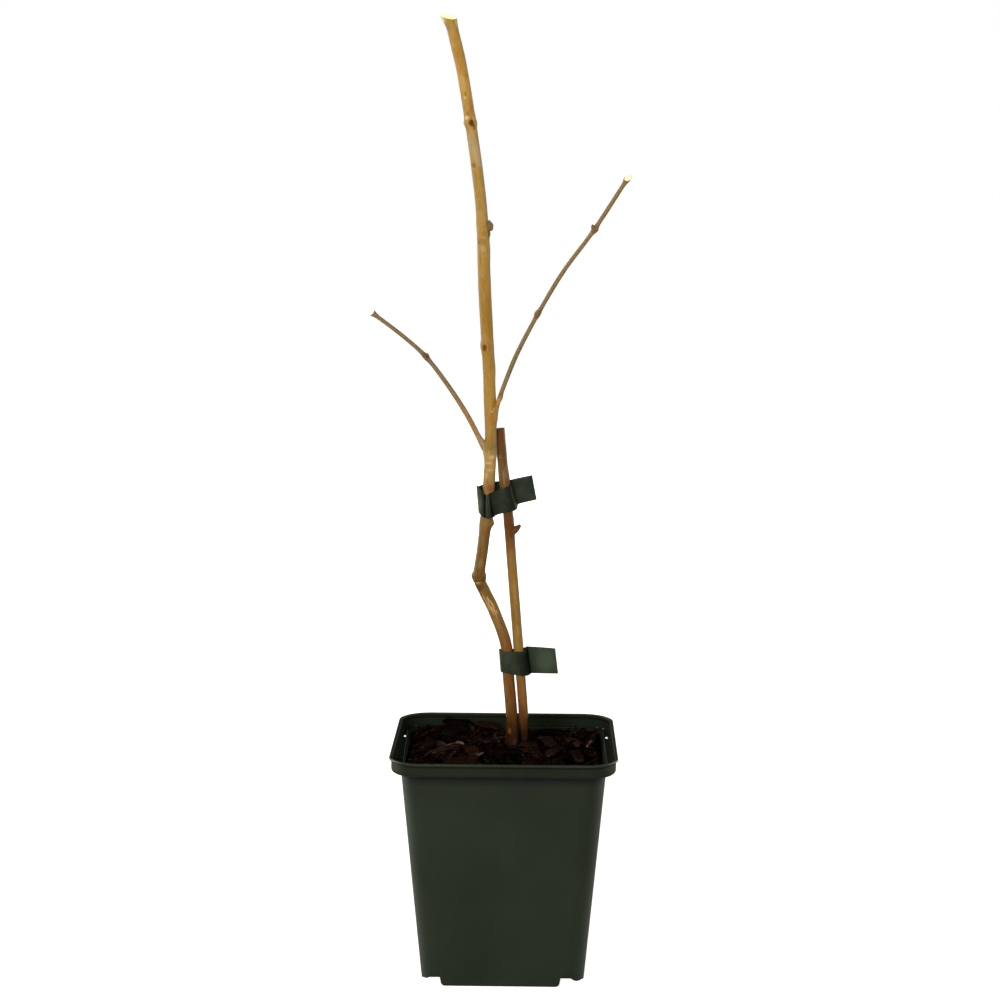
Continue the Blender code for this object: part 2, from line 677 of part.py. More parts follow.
def main():
    clear_scene()
    pot_green = plain_material("pot_green", POT_GREEN, 0.45)
    compost_brown = plain_material("compost_brown", COMPOST_BROWN, 0.95)
    cane_ochre = plain_material("cane_ochre", CANE_OCHRE, 0.6)
    old_cane_brown = plain_material("old_cane_brown", OLD_CANE_BROWN, 0.65)
    shoot_tan = plain_material("shoot_tan", SHOOT_TAN, 0.6)
    band_green = plain_material("band_green", BAND_GREEN, 0.4)
    chip_brown = plain_material("chip_brown", CHIP_BROWN, 0.8)
    make_pot(pot_green)
    make_soil(compost_brown)
    make_chips(chip_brown)
    make_canes(cane_ochre, old_cane_brown)
    make_shoots(shoot_tan)
    make_band("upper_tie", band_green, UPPER_BAND_MIDDLE, UPPER_BAND_LEAN, UPPER_TAB,
              UPPER_TAB_TURN, UPPER_BAND_ROOM, UPPER_BAND_DROOP)
    make_band("lower_tie", band_green, LOWER_BAND_MIDDLE, LOWER_BAND_LEAN, LOWER_TAB,
              LOWER_TAB_TURN, LOWER_BAND_ROOM, LOWER_BAND_DROOP)


main()
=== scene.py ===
"""Looks of a potted thornless bramble, cut back for the winter.

Laid out as an add-on and run as a script. Sizes are in millimetres where a name ends in
_mm or a table says so, and in metres in the meshes. +Z is up and -Y is the front.
"""

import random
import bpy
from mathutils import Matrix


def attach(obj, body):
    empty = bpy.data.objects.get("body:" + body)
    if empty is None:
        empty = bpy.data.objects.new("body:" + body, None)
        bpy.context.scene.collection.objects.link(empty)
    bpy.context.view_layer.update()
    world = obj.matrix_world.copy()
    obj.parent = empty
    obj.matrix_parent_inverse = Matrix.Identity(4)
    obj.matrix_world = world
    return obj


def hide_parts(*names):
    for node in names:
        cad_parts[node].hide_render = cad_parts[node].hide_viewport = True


bl_info = {
    "name": "Potted Bramble",
    "version": (1, 0, 0),
    "blender": (4, 5, 0),
    "location": "3D View > Sidebar > Bramble",
    "description": "Builds a winter-bare bramble in its square nursery pot",
    "category": "Object",
}

from math import atan2, cos, exp, pi, radians, sin, tau

import bmesh
import bpy
from bpy.props import FloatProperty, FloatVectorProperty, IntProperty, PointerProperty
from bpy.types import Operator, Panel, PropertyGroup
from mathutils import Matrix, Vector, noise
from mathutils.kdtree import KDTree

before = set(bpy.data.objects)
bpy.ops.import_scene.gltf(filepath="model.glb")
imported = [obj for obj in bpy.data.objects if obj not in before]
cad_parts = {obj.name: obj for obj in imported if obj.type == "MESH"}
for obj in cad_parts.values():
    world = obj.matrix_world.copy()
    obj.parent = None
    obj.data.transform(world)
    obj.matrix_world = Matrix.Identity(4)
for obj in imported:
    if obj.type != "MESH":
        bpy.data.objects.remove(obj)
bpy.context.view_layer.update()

MM = 0.001
BODY = "root"
# On a tie strip the same attribute holds painted shade and light.
MARKS = "Marks"               # colour attribute that holds a stem's marks

# Pot, mm
POT_HEIGHT = 135.0
RIM_HALF = 65.0
COLLAR_HALF = 63.8
COLLAR_HEIGHT = 8.4
BODY_HALF_TOP = 58.1
BODY_HALF_FOOT = 46.9
CORNER_RADIUS = 12.0
COLLAR_CORNER_RADIUS = 17.7
RIM_CORNER_RADIUS = 18.9
WALL = 1.3
FLOOR = 1.9
LEDGE_DEPTH = 7.4
LEDGE_LIP = 59.3              # from the middle to the small lip on the ledge
FOOT_HALF_LOW = 33.7
FOOT_HALF_HIGH = 34.8
FOOT_ROUND = 2.0              # radius of the foot's lower corners
FOOT_SHIFT = -1.25            # the foot's middle from the pot's, along X
FOOT_LIFT = 5.8
# Corner lugs, left and right: where each begins and ends round its corner in degrees, and its depth
LUGS = ((4.0, 56.0, 2.6), (10.0, 68.0, 3.0))
DRAIN_RADIUS = 3.5
DRAIN_PLACE = 38.8
LABEL_SLOT = (1.3, 6.0)
LABEL_SLOT_PLACE = (60.8, 35.7)

# Compost, mm
SOIL_LEVEL = 125.0
SOIL_MOUND = 3.0
MOUND_MIDDLE = (7.0, 5.0)
CANE_BED = 9.0
CANE_FOOT = 128.4
PIECE_GAP = 0.3

# Large chips of the mulch, mm: X, Y, heading in degrees, length, width
BARK_CHIPS = (
    (-33.5, 1.5, 49, 28, 5), (-19.0, -9.0, 105, 21, 7.5), (-31.5, 47.5, 75, 22, 17),
    (-11.0, 50.5, 0, 15, 9), (51.3, 23.5, 81, 26, 5), (25.3, 16.8, -77, 25, 7.5),
    (40.0, 17.5, -68, 16, 5.5), (29.3, -9.8, 64, 25, 5), (17.2, -9.5, -73, 21.5, 5.5),
    (41.8, -14.8, -81, 24, 6.5), (-46.0, 14.0, 66, 18, 8), (1.5, -13.5, -10, 20, 7),
    (28.0, 44.0, -8, 20, 9), (-24.0, -33.0, -32, 23, 10),
)
# Smaller pieces that stand out: X, Y, height over the compost, heading, tilt, roll in degrees,
# length, width, thickness, kind
SMALL_CHIPS = (
    (-34.6, 8.7, 2.3, 58, 0, 15, 22.0, 1.3, 0.8, 6), (-26.9, 14.5, 2.6, -51, 0, 20, 7.4, 1.5, 0.8, 6),
    (-43.3, -8.9, 2.0, 69, 0, 10, 17.0, 1.2, 0.8, 5), (-40.6, -3.5, 2.1, 55, 0, -15, 10.6, 1.3, 0.8, 5),
    (-37.0, 2.0, 1.9, 62, 0, 20, 14.0, 1.6, 0.9, 7), (-30.8, 8.2, 1.9, 19, 0, 10, 9.9, 1.0, 0.7, 5),
    (-14.3, -17.3, 2.2, 61, 3, 25, 9.0, 1.4, 0.8, 6), (-19.1, 21.3, 1.6, 64, 4, 10, 15.0, 3.4, 1.1, 1),
    # The pale strip at 50.3, 16.4 lies on the red chip there and paints its highlight.
    (50.3, 16.4, 3.6, 74, 3, 30, 15.0, 1.6, 0.9, 6), (53.4, 34.0, 3.2, 80, 3, 20, 19.0, 3.0, 1.0, 8),
    (38.7, 16.6, 3.3, 65, 0, 10, 8.6, 3.0, 1.0, 7), (27.9, -15.8, 3.2, 67, 2, 20, 16.0, 1.2, 0.8, 5),
    (40.3, -17.6, 3.2, -83, 0, 20, 20.0, 1.2, 0.8, 5), (24.2, 5.4, 3.2, -71, 0, 10, 19.0, 2.4, 1.0, 8),
    (17.5, -13.5, 2.0, -62, 0, 15, 17.0, 2.4, 1.0, 1), (9.3, -9.2, 1.8, -3, 3, 0, 9.5, 4.8, 1.4, 8),
    (-6.6, 30.7, 1.6, 80, 8, 10, 9.0, 1.8, 1.0, 5), (-17.6, 28.7, 1.6, 48, 8, 20, 8.0, 1.6, 0.9, 8),
    (-38.0, 56.2, 1.2, 47, 43, 70, 11.5, 1.6, 1.0, 1), (31.1, 53.0, 1.6, 20, 10, 10, 5.0, 1.4, 0.8, 4),
    (43.7, 49.0, 1.6, 10, 6, -10, 5.0, 1.2, 0.8, 6), (-9.6, 21.2, 1.6, -40, 5, 0, 12.0, 2.8, 1.0, 1),
    (11.5, -1.2, 1.2, -20, 0, 10, 11.0, 4.6, 1.4, 0), (16.6, -0.2, 1.3, 60, 0, 0, 9.0, 3.8, 1.4, 2),
    (7.6, -2.0, 1.1, 80, 0, 0, 7.0, 3.6, 1.2, 0), (12.7, -1.8, 2.3, 22, 3, 15, 10.0, 3.8, 1.2, 0),
    (16.0, 0.4, 2.5, -50, 5, 15, 6.5, 3.2, 1.2, 1), (10.8, -1.0, 3.4, 14, 6, 30, 8.5, 3.2, 1.1, 0),
    (15.8, 0.4, 3.7, -38, 14, 25, 5.2, 2.6, 1.0, 0), (12.8, -3.0, 3.1, -5, 0, 20, 10.0, 2.8, 1.1, 2),
    (8.1, 0.0, 2.4, 92, 14, 10, 5.0, 2.2, 1.0, 0), (6.4, -3.8, 1.8, 30, 5, 0, 9.0, 2.6, 1.1, 1),
    (-1.4, -2.6, 2.2, 66, 12, 20, 7.0, 2.0, 1.0, 0),
)

# Canes, mm; a route's points are X, Y and Z of the stem's middle
TALL_CANE_ROUTE = (
    (4.4, 4.0, CANE_FOOT), (3.9, 3.8, 147.0), (1.9, 3.6, 170.0), (0.2, 3.5, 190.5),
    (-7.0, 3.5, 210.5), (-12.2, 3.5, 221.2), (-15.5, 3.5, 230.5), (-13.3, 2.9, 250.0),
    (-10.4, 1.9, 280.0), (-9.2, 1.6, 315.0), (-11.0, 2.3, 360.0), (-13.5, 4.0, 408.0),
    (-15.4, 4.9, 445.0), (-20.6, 6.3, 485.0), (-27.2, 7.8, 524.0), (-33.9, 9.0, 551.0),
)
SHORT_CANE_ROUTE = (
    (11.7, 4.6, CANE_FOOT), (10.7, 3.2, 150.0), (7.3, 2.6, 192.0), (3.3, 4.2, 240.0),
    (1.3, 5.1, 265.0), (-2.1, 6.4, 294.0), (-4.3, 7.3, 317.0),
)
LEFT_SHOOT_ROUTE = (
    (-9.9, 1.7, 303.0), (-15.2, 2.8, 310.5), (-22.9, 5.6, 324.4), (-34.9, 9.8, 342.2),
    (-47.0, 13.0, 357.4), (-60.8, 15.4, 369.5), (-79.6, 18.2, 383.3),
)
RIGHT_SHOOT_ROUTE = (
    (-8.6, 1.4, 318.5), (-6.0, 0.4, 329.0), (-2.2, -1.4, 341.0), (6.0, -5.0, 361.6),
    (17.8, -9.2, 384.5), (31.6, -14.5, 408.0), (48.8, -20.2, 431.9), (67.1, -26.5, 460.7),
)

# Plastic ties, mm: columns across the strip from the tab's end round the front, the left and the
# back, each with X and Z at its lower edge, X and Z at its upper edge, Y, and a tone for the plastic
# there: painted shade where it is below one and painted light where it is above one
TIE_THICKNESS = 0.6
UPPER_TIE_COLUMNS = (
    (17.7, 275.4, 14.9, 289.7, 7.3, 1.0), (12.3, 274.1, 8.7, 288.4, 7.1, 1.05),
    (7.1, 272.7, 2.9, 287.0, 6.9, 0.85), (6.4, 271.5, 2.7, 285.6, 5.0, 0.3),
    (6.0, 270.5, 2.1, 284.3, 2.8, 0.25), (4.3, 269.4, 1.1, 283.8, 1.4, 0.5),
    (-1.3, 268.3, -2.8, 282.1, 0.2, 1.0), (-5.9, 267.3, -9.0, 280.4, -2.6, 0.5),
    (-6.7, 266.4, -9.3, 280.1, -1.9, 0.3), (-7.9, 265.6, -9.7, 279.8, -1.5, 0.35),
    (-9.7, 265.5, -10.2, 279.7, -4.0, 0.9), (-10.9, 265.6, -11.0, 279.4, -4.3, 0.9),
    (-12.0, 265.6, -12.2, 279.1, -2.2, 0.35), (-12.7, 266.1, -13.2, 279.9, -3.0, 0.4),
    (-14.0, 266.7, -14.8, 282.3, -2.6, 1.3), (-15.6, 268.6, -17.0, 284.4, -1.0, 1.9),
    (-15.7, 268.6, -16.6, 283.5, 1.8, 1.2), (-14.6, 270.5, -15.0, 283.7, 4.8, 1.7),
    (-11.9, 270.8, -12.2, 284.6, 6.6, 1.7), (-7.2, 271.3, -7.3, 285.6, 7.6, 1.7),
    (-3.8, 271.8, -3.8, 285.9, 8.9, 1.7), (0.9, 272.6, -0.4, 286.0, 9.8, 1.7),
    (7.1, 273.2, 3.2, 287.0, 8.1, 0.7), (12.3, 274.0, 8.7, 288.3, 7.8, 0.8),
    (17.7, 275.3, 14.9, 289.6, 8.0, 0.8),
)
LOWER_TIE_COLUMNS = (
    (30.8, 174.0, 29.0, 188.9, -0.9, 1.3), (23.6, 173.1, 21.1, 188.6, 3.4, 1.3),
    (16.3, 172.6, 14.1, 188.4, 6.2, 0.9), (15.0, 172.3, 12.5, 188.4, 6.8, 0.3),
    (14.1, 172.0, 11.9, 188.0, 5.2, 0.3), (13.5, 172.0, 11.4, 187.3, 2.6, 0.75),
    (11.1, 172.3, 10.3, 186.8, -0.6, 0.5), (4.6, 173.1, 4.2, 186.7, -1.1, 1.05),
    (0.3, 173.9, -0.7, 186.7, -0.9, 1.1), (-1.9, 174.3, -2.8, 186.8, 0.2, 1.0),
    (-2.5, 174.0, -3.6, 187.2, 3.2, 0.8), (-1.6, 173.7, -2.7, 186.9, 6.6, 0.7),
    (1.5, 173.4, 0.3, 186.7, 7.7, 0.7), (5.0, 173.1, 4.4, 186.7, 7.6, 0.7),
    (8.6, 172.8, 7.9, 186.9, 8.0, 0.7), (12.1, 172.3, 10.6, 187.3, 8.6, 0.7),
    (16.5, 172.4, 14.1, 188.1, 7.5, 0.8), (23.6, 172.9, 21.1, 188.4, 4.3, 0.9),
    (30.8, 173.8, 29.0, 188.7, -0.1, 0.9),
)

# The photograph's camera, mm and degrees
CAMERA_PLACE = (18.7, -1291.7, 447.8)
CAMERA_PITCH = 7.58
CAMERA_YAW = 0.99
CAMERA_ROLL = 0.31
CAMERA_LENS = 81.0


def srgb(red, green, blue):
    """A colour read as 0 to 255 on screen, as linear light."""
    channels = []
    for value in (red, green, blue):
        share = value / 255.0
        linear = share / 12.92 if share <= 0.04045 else ((share + 0.055) / 1.055) ** 2.4
        channels.append(linear)
    return tuple(channels)


class BRAMBLE_PG_pot(PropertyGroup):
    colour: FloatVectorProperty(
        name="Plastic", description="Colour of the pot's plastic", subtype="COLOR", size=3,
        min=0.0, max=1.0, default=srgb(29, 37, 22))
    gloss: FloatProperty(
        name="Roughness", description="Roughness of the pot's surface", subtype="FACTOR",
        min=0.0, max=1.0, default=0.38)
    corner_steps: IntProperty(
        name="Corner steps", description="Pieces in each round corner", min=4, max=32, default=14)


class BRAMBLE_PG_mulch(PropertyGroup):
    compost: FloatVectorProperty(
        name="Compost", description="Colour of the moist compost", subtype="COLOR", size=3,
        min=0.0, max=1.0, default=srgb(13, 8, 5))
    chip: FloatVectorProperty(
        name="Bark chip", description="Colour of most bark chips", subtype="COLOR", size=3,
        min=0.0, max=1.0, default=srgb(42, 26, 18))
    pieces: IntProperty(
        name="Pieces", description="How many small pieces lie on the compost", min=0, max=2000,
        default=1100)
    seed: IntProperty(name="Seed", description="Seed of the mulch's layout", default=11)


class BRAMBLE_PG_canes(PropertyGroup):
    ochre: FloatVectorProperty(
        name="Bark", description="Colour of the tall cane's bark", subtype="COLOR", size=3,
        min=0.0, max=1.0, default=srgb(176, 128, 62))
    cut: FloatVectorProperty(
        name="Cut wood", description="Colour of the fresh cuts", subtype="COLOR", size=3,
        min=0.0, max=1.0, default=srgb(246, 242, 190))
    relief: FloatProperty(
        name="Bark relief", description="Height of the bark's ridges, in metres",
        subtype="DISTANCE", unit="LENGTH", min=0.0, max=0.001, default=0.0001, precision=5)
    around: IntProperty(
        name="Faces around", description="Faces around a cane", min=12, max=128, default=64)


class BRAMBLE_PG_ties(PropertyGroup):
    colour: FloatVectorProperty(
        name="Plastic", description="Colour of the tie strips", subtype="COLOR", size=3,
        min=0.0, max=1.0, default=srgb(45, 51, 39))
    thickness: FloatProperty(
        name="Thickness", description="Thickness of the strip", subtype="DISTANCE",
        unit="LENGTH", min=0.0001, max=0.003, default=TIE_THICKNESS * MM, precision=5)


class BRAMBLE_PG_stage(PropertyGroup):
    floor: FloatVectorProperty(
        name="Floor", description="Colour of the floor", subtype="COLOR", size=3,
        min=0.0, max=1.0, default=(0.7, 0.7, 0.7))
    light: FloatProperty(
        name="Light", description="Strength of all lamps", min=0.0, max=10.0, default=1.0)


def select_only(*items):
    """Leave just these objects selected, the first one active."""
    bpy.ops.object.select_all(action="DESELECT")
    for item in items:
        item.select_set(True)
    bpy.context.view_layer.objects.active = items[0]


def place_in_mesh(item):
    """Move an object's place, turn and scale into its mesh."""
    select_only(item)
    bpy.ops.object.transform_apply(location=True, rotation=True, scale=True)


def apply_modifiers(item):
    """Apply every modifier in order."""
    select_only(item)
    for step in list(item.modifiers):
        bpy.ops.object.modifier_apply(modifier=step.name)


def cut_with(item, tool, operation="DIFFERENCE", materials="INDEX"):
    """Apply a Boolean with another object and remove that object."""
    step = item.modifiers.new("Shape", "BOOLEAN")
    step.operation = operation
    step.solver = "EXACT"
    step.object = tool
    step.material_mode = materials
    apply_modifiers(item)
    bpy.data.objects.remove(tool, do_unlink=True)


def smooth_faces(item, angle):
    """Shade smooth up to an angle between faces."""
    select_only(item)
    bpy.ops.object.shade_smooth_by_angle(angle=angle)


def outward_normals(item):
    """Turn all faces outwards."""
    select_only(item)
    bpy.ops.object.mode_set(mode="EDIT")
    bpy.ops.mesh.select_all(action="SELECT")
    bpy.ops.mesh.normals_make_consistent(inside=False)
    bpy.ops.object.mode_set(mode="OBJECT")


def keep_piece(item, slot, *nodes):
    """Let a finished piece ride on the plant's body in place of its CAD nodes; slot is not used."""
    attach(item, BODY)
    if nodes:
        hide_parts(*nodes)


def new_material(name, roughness):
    """A material with a Principled shader, its nodes and its links."""
    material = bpy.data.materials.new(name)
    material.use_nodes = True
    tree = material.node_tree
    shader = tree.nodes["Principled BSDF"]
    shader.inputs["Roughness"].default_value = roughness
    return material, tree, shader


def add_node(tree, kind, settings=None, **inputs):
    """Add a node; settings are its properties and inputs its sockets, linked or set."""
    node = tree.nodes.new(kind)
    for key, value in (settings or {}).items():
        setattr(node, key, value)
    for key, value in inputs.items():
        socket = node.inputs[int(key[1:])] if key[0] == "i" and key[1:].isdigit() else node.inputs[key]
        if isinstance(value, bpy.types.NodeSocket):
            tree.links.new(value, socket)
        else:
            socket.default_value = value
    return node


def math_node(tree, operation, first, second=0.0):
    """One arithmetic step; returns its output socket."""
    return add_node(tree, "ShaderNodeMath", {"operation": operation}, i0=first, i1=second).outputs[0]


def noise_value(tree, where, scale, detail=4.0, roughness=0.5):
    """Noise at a place; returns its factor socket."""
    node = add_node(tree, "ShaderNodeTexNoise", None, Vector=where, Scale=scale, Detail=detail,
                    Roughness=roughness)
    return node.outputs["Fac"]


def ramp(tree, factor, stops):
    """A colour ramp with stops of a place and a linear colour; returns its colour socket."""
    node = add_node(tree, "ShaderNodeValToRGB", None, Fac=factor)
    elements = node.color_ramp.elements
    while len(elements) < len(stops):
        elements.new(0.5)
    for element, (place, colour) in zip(elements, stops):
        element.position = place
        element.color = (*colour, 1.0)
    return node.outputs["Color"]


def mask(tree, factor, low, high):
    """Nought below the low value and one above the high value."""
    node = add_node(tree, "ShaderNodeMapRange", {"interpolation_type": "SMOOTHSTEP"}, i0=factor)
    node.inputs["From Min"].default_value = low
    node.inputs["From Max"].default_value = high
    return node.outputs[0]


def blend_colours(tree, factor, first, second, kind="MIX"):
    """Mix two colours; returns the colour socket."""
    node = tree.nodes.new("ShaderNodeMix")
    node.data_type = "RGBA"
    node.blend_type = kind
    for socket, value in ((node.inputs[0], factor), (node.inputs[6], first), (node.inputs[7], second)):
        if isinstance(value, bpy.types.NodeSocket):
            tree.links.new(value, socket)
        elif isinstance(value, tuple):
            socket.default_value = (*value, 1.0)
        else:
            socket.default_value = value
    return node.outputs[2]


def add_bump(tree, shader, height, distance, strength=1.0):
    """Bump a surface by a height in 0 to 1, distance in metres."""
    bump = add_node(tree, "ShaderNodeBump", None, Height=height, Distance=distance, Strength=strength)
    tree.links.new(bump.outputs["Normal"], shader.inputs["Normal"])


def object_place(tree):
    """The place on the piece, in metres."""
    return tree.nodes.new("ShaderNodeTexCoord").outputs["Object"]


def stretched(tree, where, scale, shift=0.0):
    """A place stretched along the axes, and shifted to reach another part of a pattern."""
    return add_node(tree, "ShaderNodeMapping", None, Vector=where, Scale=scale,
                    Location=(shift, shift, shift)).outputs[0]


def stem_place(tree, around):
    """A place on a stem from its UV map: round it without a seam, and metres along it in Z."""
    uv = tree.nodes.new("ShaderNodeTexCoord").outputs["UV"]
    parts = add_node(tree, "ShaderNodeSeparateXYZ", None, Vector=uv)
    turn = math_node(tree, "MULTIPLY", parts.outputs[0], tau)
    x = math_node(tree, "MULTIPLY", math_node(tree, "COSINE", turn), around)
    y = math_node(tree, "MULTIPLY", math_node(tree, "SINE", turn), around)
    place = add_node(tree, "ShaderNodeCombineXYZ", None, X=x, Y=y, Z=parts.outputs[1])
    return place.outputs[0]


def pot_material(name, colour, roughness, gloss):
    """Moulded dark green plastic with faint flow marks and dusty patches; painted shade darkens the walls towards the
    collar, under the collar and in a line under the bead.
    """
    material, tree, shader = new_material(name, roughness)
    shader.inputs["Specular IOR Level"].default_value = gloss
    where = object_place(tree)
    cloud = noise_value(tree, where, 18.0, 3.0)
    flow = noise_value(tree, stretched(tree, where, (60.0, 60.0, 6.0)), 1.0, 4.0)
    dark = tuple(channel * 0.86 for channel in colour)
    light = tuple(channel * 1.16 for channel in colour)
    tint = ramp(tree, cloud, ((0.3, dark), (0.7, light)))
    dust = mask(tree, flow, 0.62, 0.86)
    dusty = tuple(channel * 1.5 + 0.004 for channel in colour)
    tint = blend_colours(tree, math_node(tree, "MULTIPLY", dust, 0.35), tint, dusty)
    height = add_node(tree, "ShaderNodeSeparateXYZ", None, Vector=where).outputs[2]
    under = POT_HEIGHT - COLLAR_HEIGHT
    # Painted shade: the walls darken gently from 85 to 120 mm, towards the collar.
    painted_light = mask(tree, height, 0.085, 0.12)
    tint = blend_colours(tree, math_node(tree, "MULTIPLY", painted_light, 0.22), tint, (0.0, 0.0, 0.0))
    # Painted shadow on the wall under the collar's overhang.
    painted_shade = mask(tree, height, (under - 7.0) * MM, (under - 2.2) * MM)
    collar = mask(tree, height, (under - 0.9) * MM, (under - 0.3) * MM)
    painted_shade = math_node(tree, "MULTIPLY", painted_shade, math_node(tree, "SUBTRACT", 1.0, collar))
    # Painted shadow line on the collar just under the bead.
    bead = math_node(tree, "COMPARE", height, (POT_HEIGHT - 2.1) * MM)
    bead.node.inputs[2].default_value = 0.5 * MM
    painted_shade = math_node(tree, "MAXIMUM", painted_shade, math_node(tree, "MULTIPLY", bead, 0.7))
    tint = blend_colours(tree, math_node(tree, "MULTIPLY", painted_shade, 0.96), tint,
                         tuple(channel * 0.14 for channel in colour))
    tree.links.new(tint, shader.inputs["Base Color"])
    rough = add_node(tree, "ShaderNodeMapRange", None, i0=cloud)
    rough.inputs["To Min"].default_value = roughness - 0.05
    rough.inputs["To Max"].default_value = roughness + 0.1
    tree.links.new(rough.outputs[0], shader.inputs["Roughness"])
    grain = noise_value(tree, where, 2600.0, 2.0)
    wave = noise_value(tree, stretched(tree, where, (30.0, 30.0, 12.0)), 1.0, 1.0)
    relief = math_node(tree, "ADD", math_node(tree, "MULTIPLY", grain, 0.06), wave)
    add_bump(tree, shader, relief, 0.0004, 0.5)
    return material


def compost_material(colour):
    """Moist dark compost with paler crumbs."""
    material, tree, shader = new_material("compost_crumbs", 0.95)
    shader.inputs["Specular IOR Level"].default_value = 0.0
    where = object_place(tree)
    crumbs = noise_value(tree, where, 700.0, 6.0, 0.65)
    patches = noise_value(tree, where, 90.0, 3.0)
    black = tuple(channel * 0.35 for channel in colour)
    warm = (colour[0] * 2.0, colour[1] * 1.5, colour[2] * 1.3)
    tint = ramp(tree, crumbs, ((0.35, black), (0.55, colour), (0.75, warm)))
    shaded = blend_colours(tree, mask(tree, patches, 0.5, 0.7), tint, black)
    tree.links.new(shaded, shader.inputs["Base Color"])
    add_bump(tree, shader, crumbs, 0.0012)
    return material


def chip_material(name, colour, contrast):
    """Shredded bark: fibres along the chip, read from its UV map."""
    material, tree, shader = new_material(name, 0.75)
    shader.inputs["Specular IOR Level"].default_value = 0.0
    uv = tree.nodes.new("ShaderNodeTexCoord").outputs["UV"]
    where = object_place(tree)
    fibre = noise_value(tree, stretched(tree, uv, (22.0, 2.5, 1.0)), 1.0, 5.0, 0.7)
    blotch = noise_value(tree, where, 210.0, 3.0)
    dark = tuple(channel * (1.0 - 0.72 * contrast) for channel in colour)
    light = tuple(min(1.0, channel * (1.0 + 1.2 * contrast) + 0.01 * contrast) for channel in colour)
    tint = ramp(tree, fibre, ((0.32, dark), (0.52, colour), (0.72, light)))
    mottled = blend_colours(tree, mask(tree, blotch, 0.48, 0.66), tint, dark)
    # Paler broken wood at the ends, which also paints the chips' edge highlights.
    ends = add_node(tree, "ShaderNodeUVMap", {"uv_map": "Ends"})
    share = add_node(tree, "ShaderNodeSeparateXYZ", None, Vector=ends.outputs[0]).outputs[0]
    broken_and_highlight_ends = math_node(tree, "MULTIPLY", mask(tree, share, 0.78, 1.0), mask(tree, fibre, 0.42, 0.6))
    pale = tuple(min(1.0, channel * 1.7 + 0.012) for channel in colour)
    tree.links.new(blend_colours(tree, broken_and_highlight_ends, mottled, pale), shader.inputs["Base Color"])
    add_bump(tree, shader, fibre, 0.0006)
    return material


# Patches in the bark: stretch round and along the stem, where they start and end in the noise, and
# how they change the red, green and blue
BARK_PATCHES = (
    ((520.0, 520.0, 170.0), 0.50, 0.64, (0.80, 0.88, 0.52)),
    ((560.0, 560.0, 150.0), 0.53, 0.66, (0.92, 0.66, 0.52)),
    ((640.0, 640.0, 230.0), 0.54, 0.68, (1.06, 1.22, 1.9)),
)


def bark_material(name, stops, streak, spots, patches=1.0, marked=True, gloss=0.05):
    """Smooth woody bark: base colour by height, soft patches, short streaks, pores and the stem's marks.

    stops: heights in metres with their colours; streak: how strong the streaks are;
    spots: colour of the pores; patches: how strong the patches are; marked: whether the mesh has
    marks; gloss: specular level, none on a foot that is covered with soil.
    """
    material, tree, shader = new_material(name, 0.62)
    shader.inputs["Specular IOR Level"].default_value = gloss
    where = object_place(tree)
    along = stem_place(tree, 0.0035)
    height = add_node(tree, "ShaderNodeSeparateXYZ", None, Vector=where).outputs[2]
    low, high = stops[0][0], stops[-1][0]
    wander = math_node(tree, "MULTIPLY", math_node(tree, "SUBTRACT",
                       noise_value(tree, stretched(tree, along, (180.0, 180.0, 90.0)), 1.0), 0.5), 0.012)
    place = add_node(tree, "ShaderNodeMapRange", None, i0=math_node(tree, "ADD", height, wander))
    place.inputs["From Min"].default_value = low
    place.inputs["From Max"].default_value = high
    tint = ramp(tree, place.outputs[0],
                tuple(((z - low) / (high - low), colour) for z, colour in stops))
    for number, (scale, start, end, change) in enumerate(BARK_PATCHES):
        field = noise_value(tree, stretched(tree, along, scale, 7.3 * (number + 1)), 1.0, 4.0, 0.6)
        share = math_node(tree, "MULTIPLY", mask(tree, field, start, end), 0.75 * patches)
        tint = blend_colours(tree, share, tint, change, "MULTIPLY")
    fine = noise_value(tree, stretched(tree, along, (1300.0, 1300.0, 130.0)), 1.0, 6.0, 0.65)
    grain = noise_value(tree, stretched(tree, along, (2600.0, 2600.0, 1500.0), 3.1), 1.0, 3.0)
    tint = blend_colours(tree, math_node(tree, "MULTIPLY", mask(tree, fine, 0.52, 0.72), streak),
                         tint, (0.62, 0.54, 0.46), "MULTIPLY")
    tint = blend_colours(tree, math_node(tree, "MULTIPLY", mask(tree, grain, 0.54, 0.7), streak),
                         tint, (1.16, 1.2, 1.3), "MULTIPLY")
    pores = add_node(tree, "ShaderNodeTexVoronoi", None,
                     Vector=stretched(tree, along, (900.0, 900.0, 420.0)), Scale=1.0)
    dots = math_node(tree, "SUBTRACT", 1.0, mask(tree, pores.outputs["Distance"], 0.06, 0.22))
    rare = mask(tree, noise_value(tree, stretched(tree, along, (260.0, 260.0, 90.0)), 1.0), 0.54, 0.64)
    dots = math_node(tree, "MULTIPLY", dots, rare)
    tint = blend_colours(tree, math_node(tree, "MULTIPLY", dots, 0.7), tint, spots)
    if marked:
        marks = add_node(tree, "ShaderNodeAttribute", {"attribute_name": MARKS})
        uneven = math_node(tree, "MULTIPLY_ADD", fine, 0.7)
        uneven.node.inputs[2].default_value = 0.65
        share = math_node(tree, "MULTIPLY", marks.outputs["Alpha"], uneven)
        share.node.use_clamp = True
        tint = blend_colours(tree, share, tint, marks.outputs["Color"])
    tree.links.new(tint, shader.inputs["Base Color"])
    rings = noise_value(tree, stretched(tree, along, (60.0, 60.0, 900.0)), 1.0, 2.0)
    relief = math_node(tree, "ADD", fine, math_node(tree, "MULTIPLY", rings, 0.35))
    add_bump(tree, shader, relief, 0.00022)
    return material


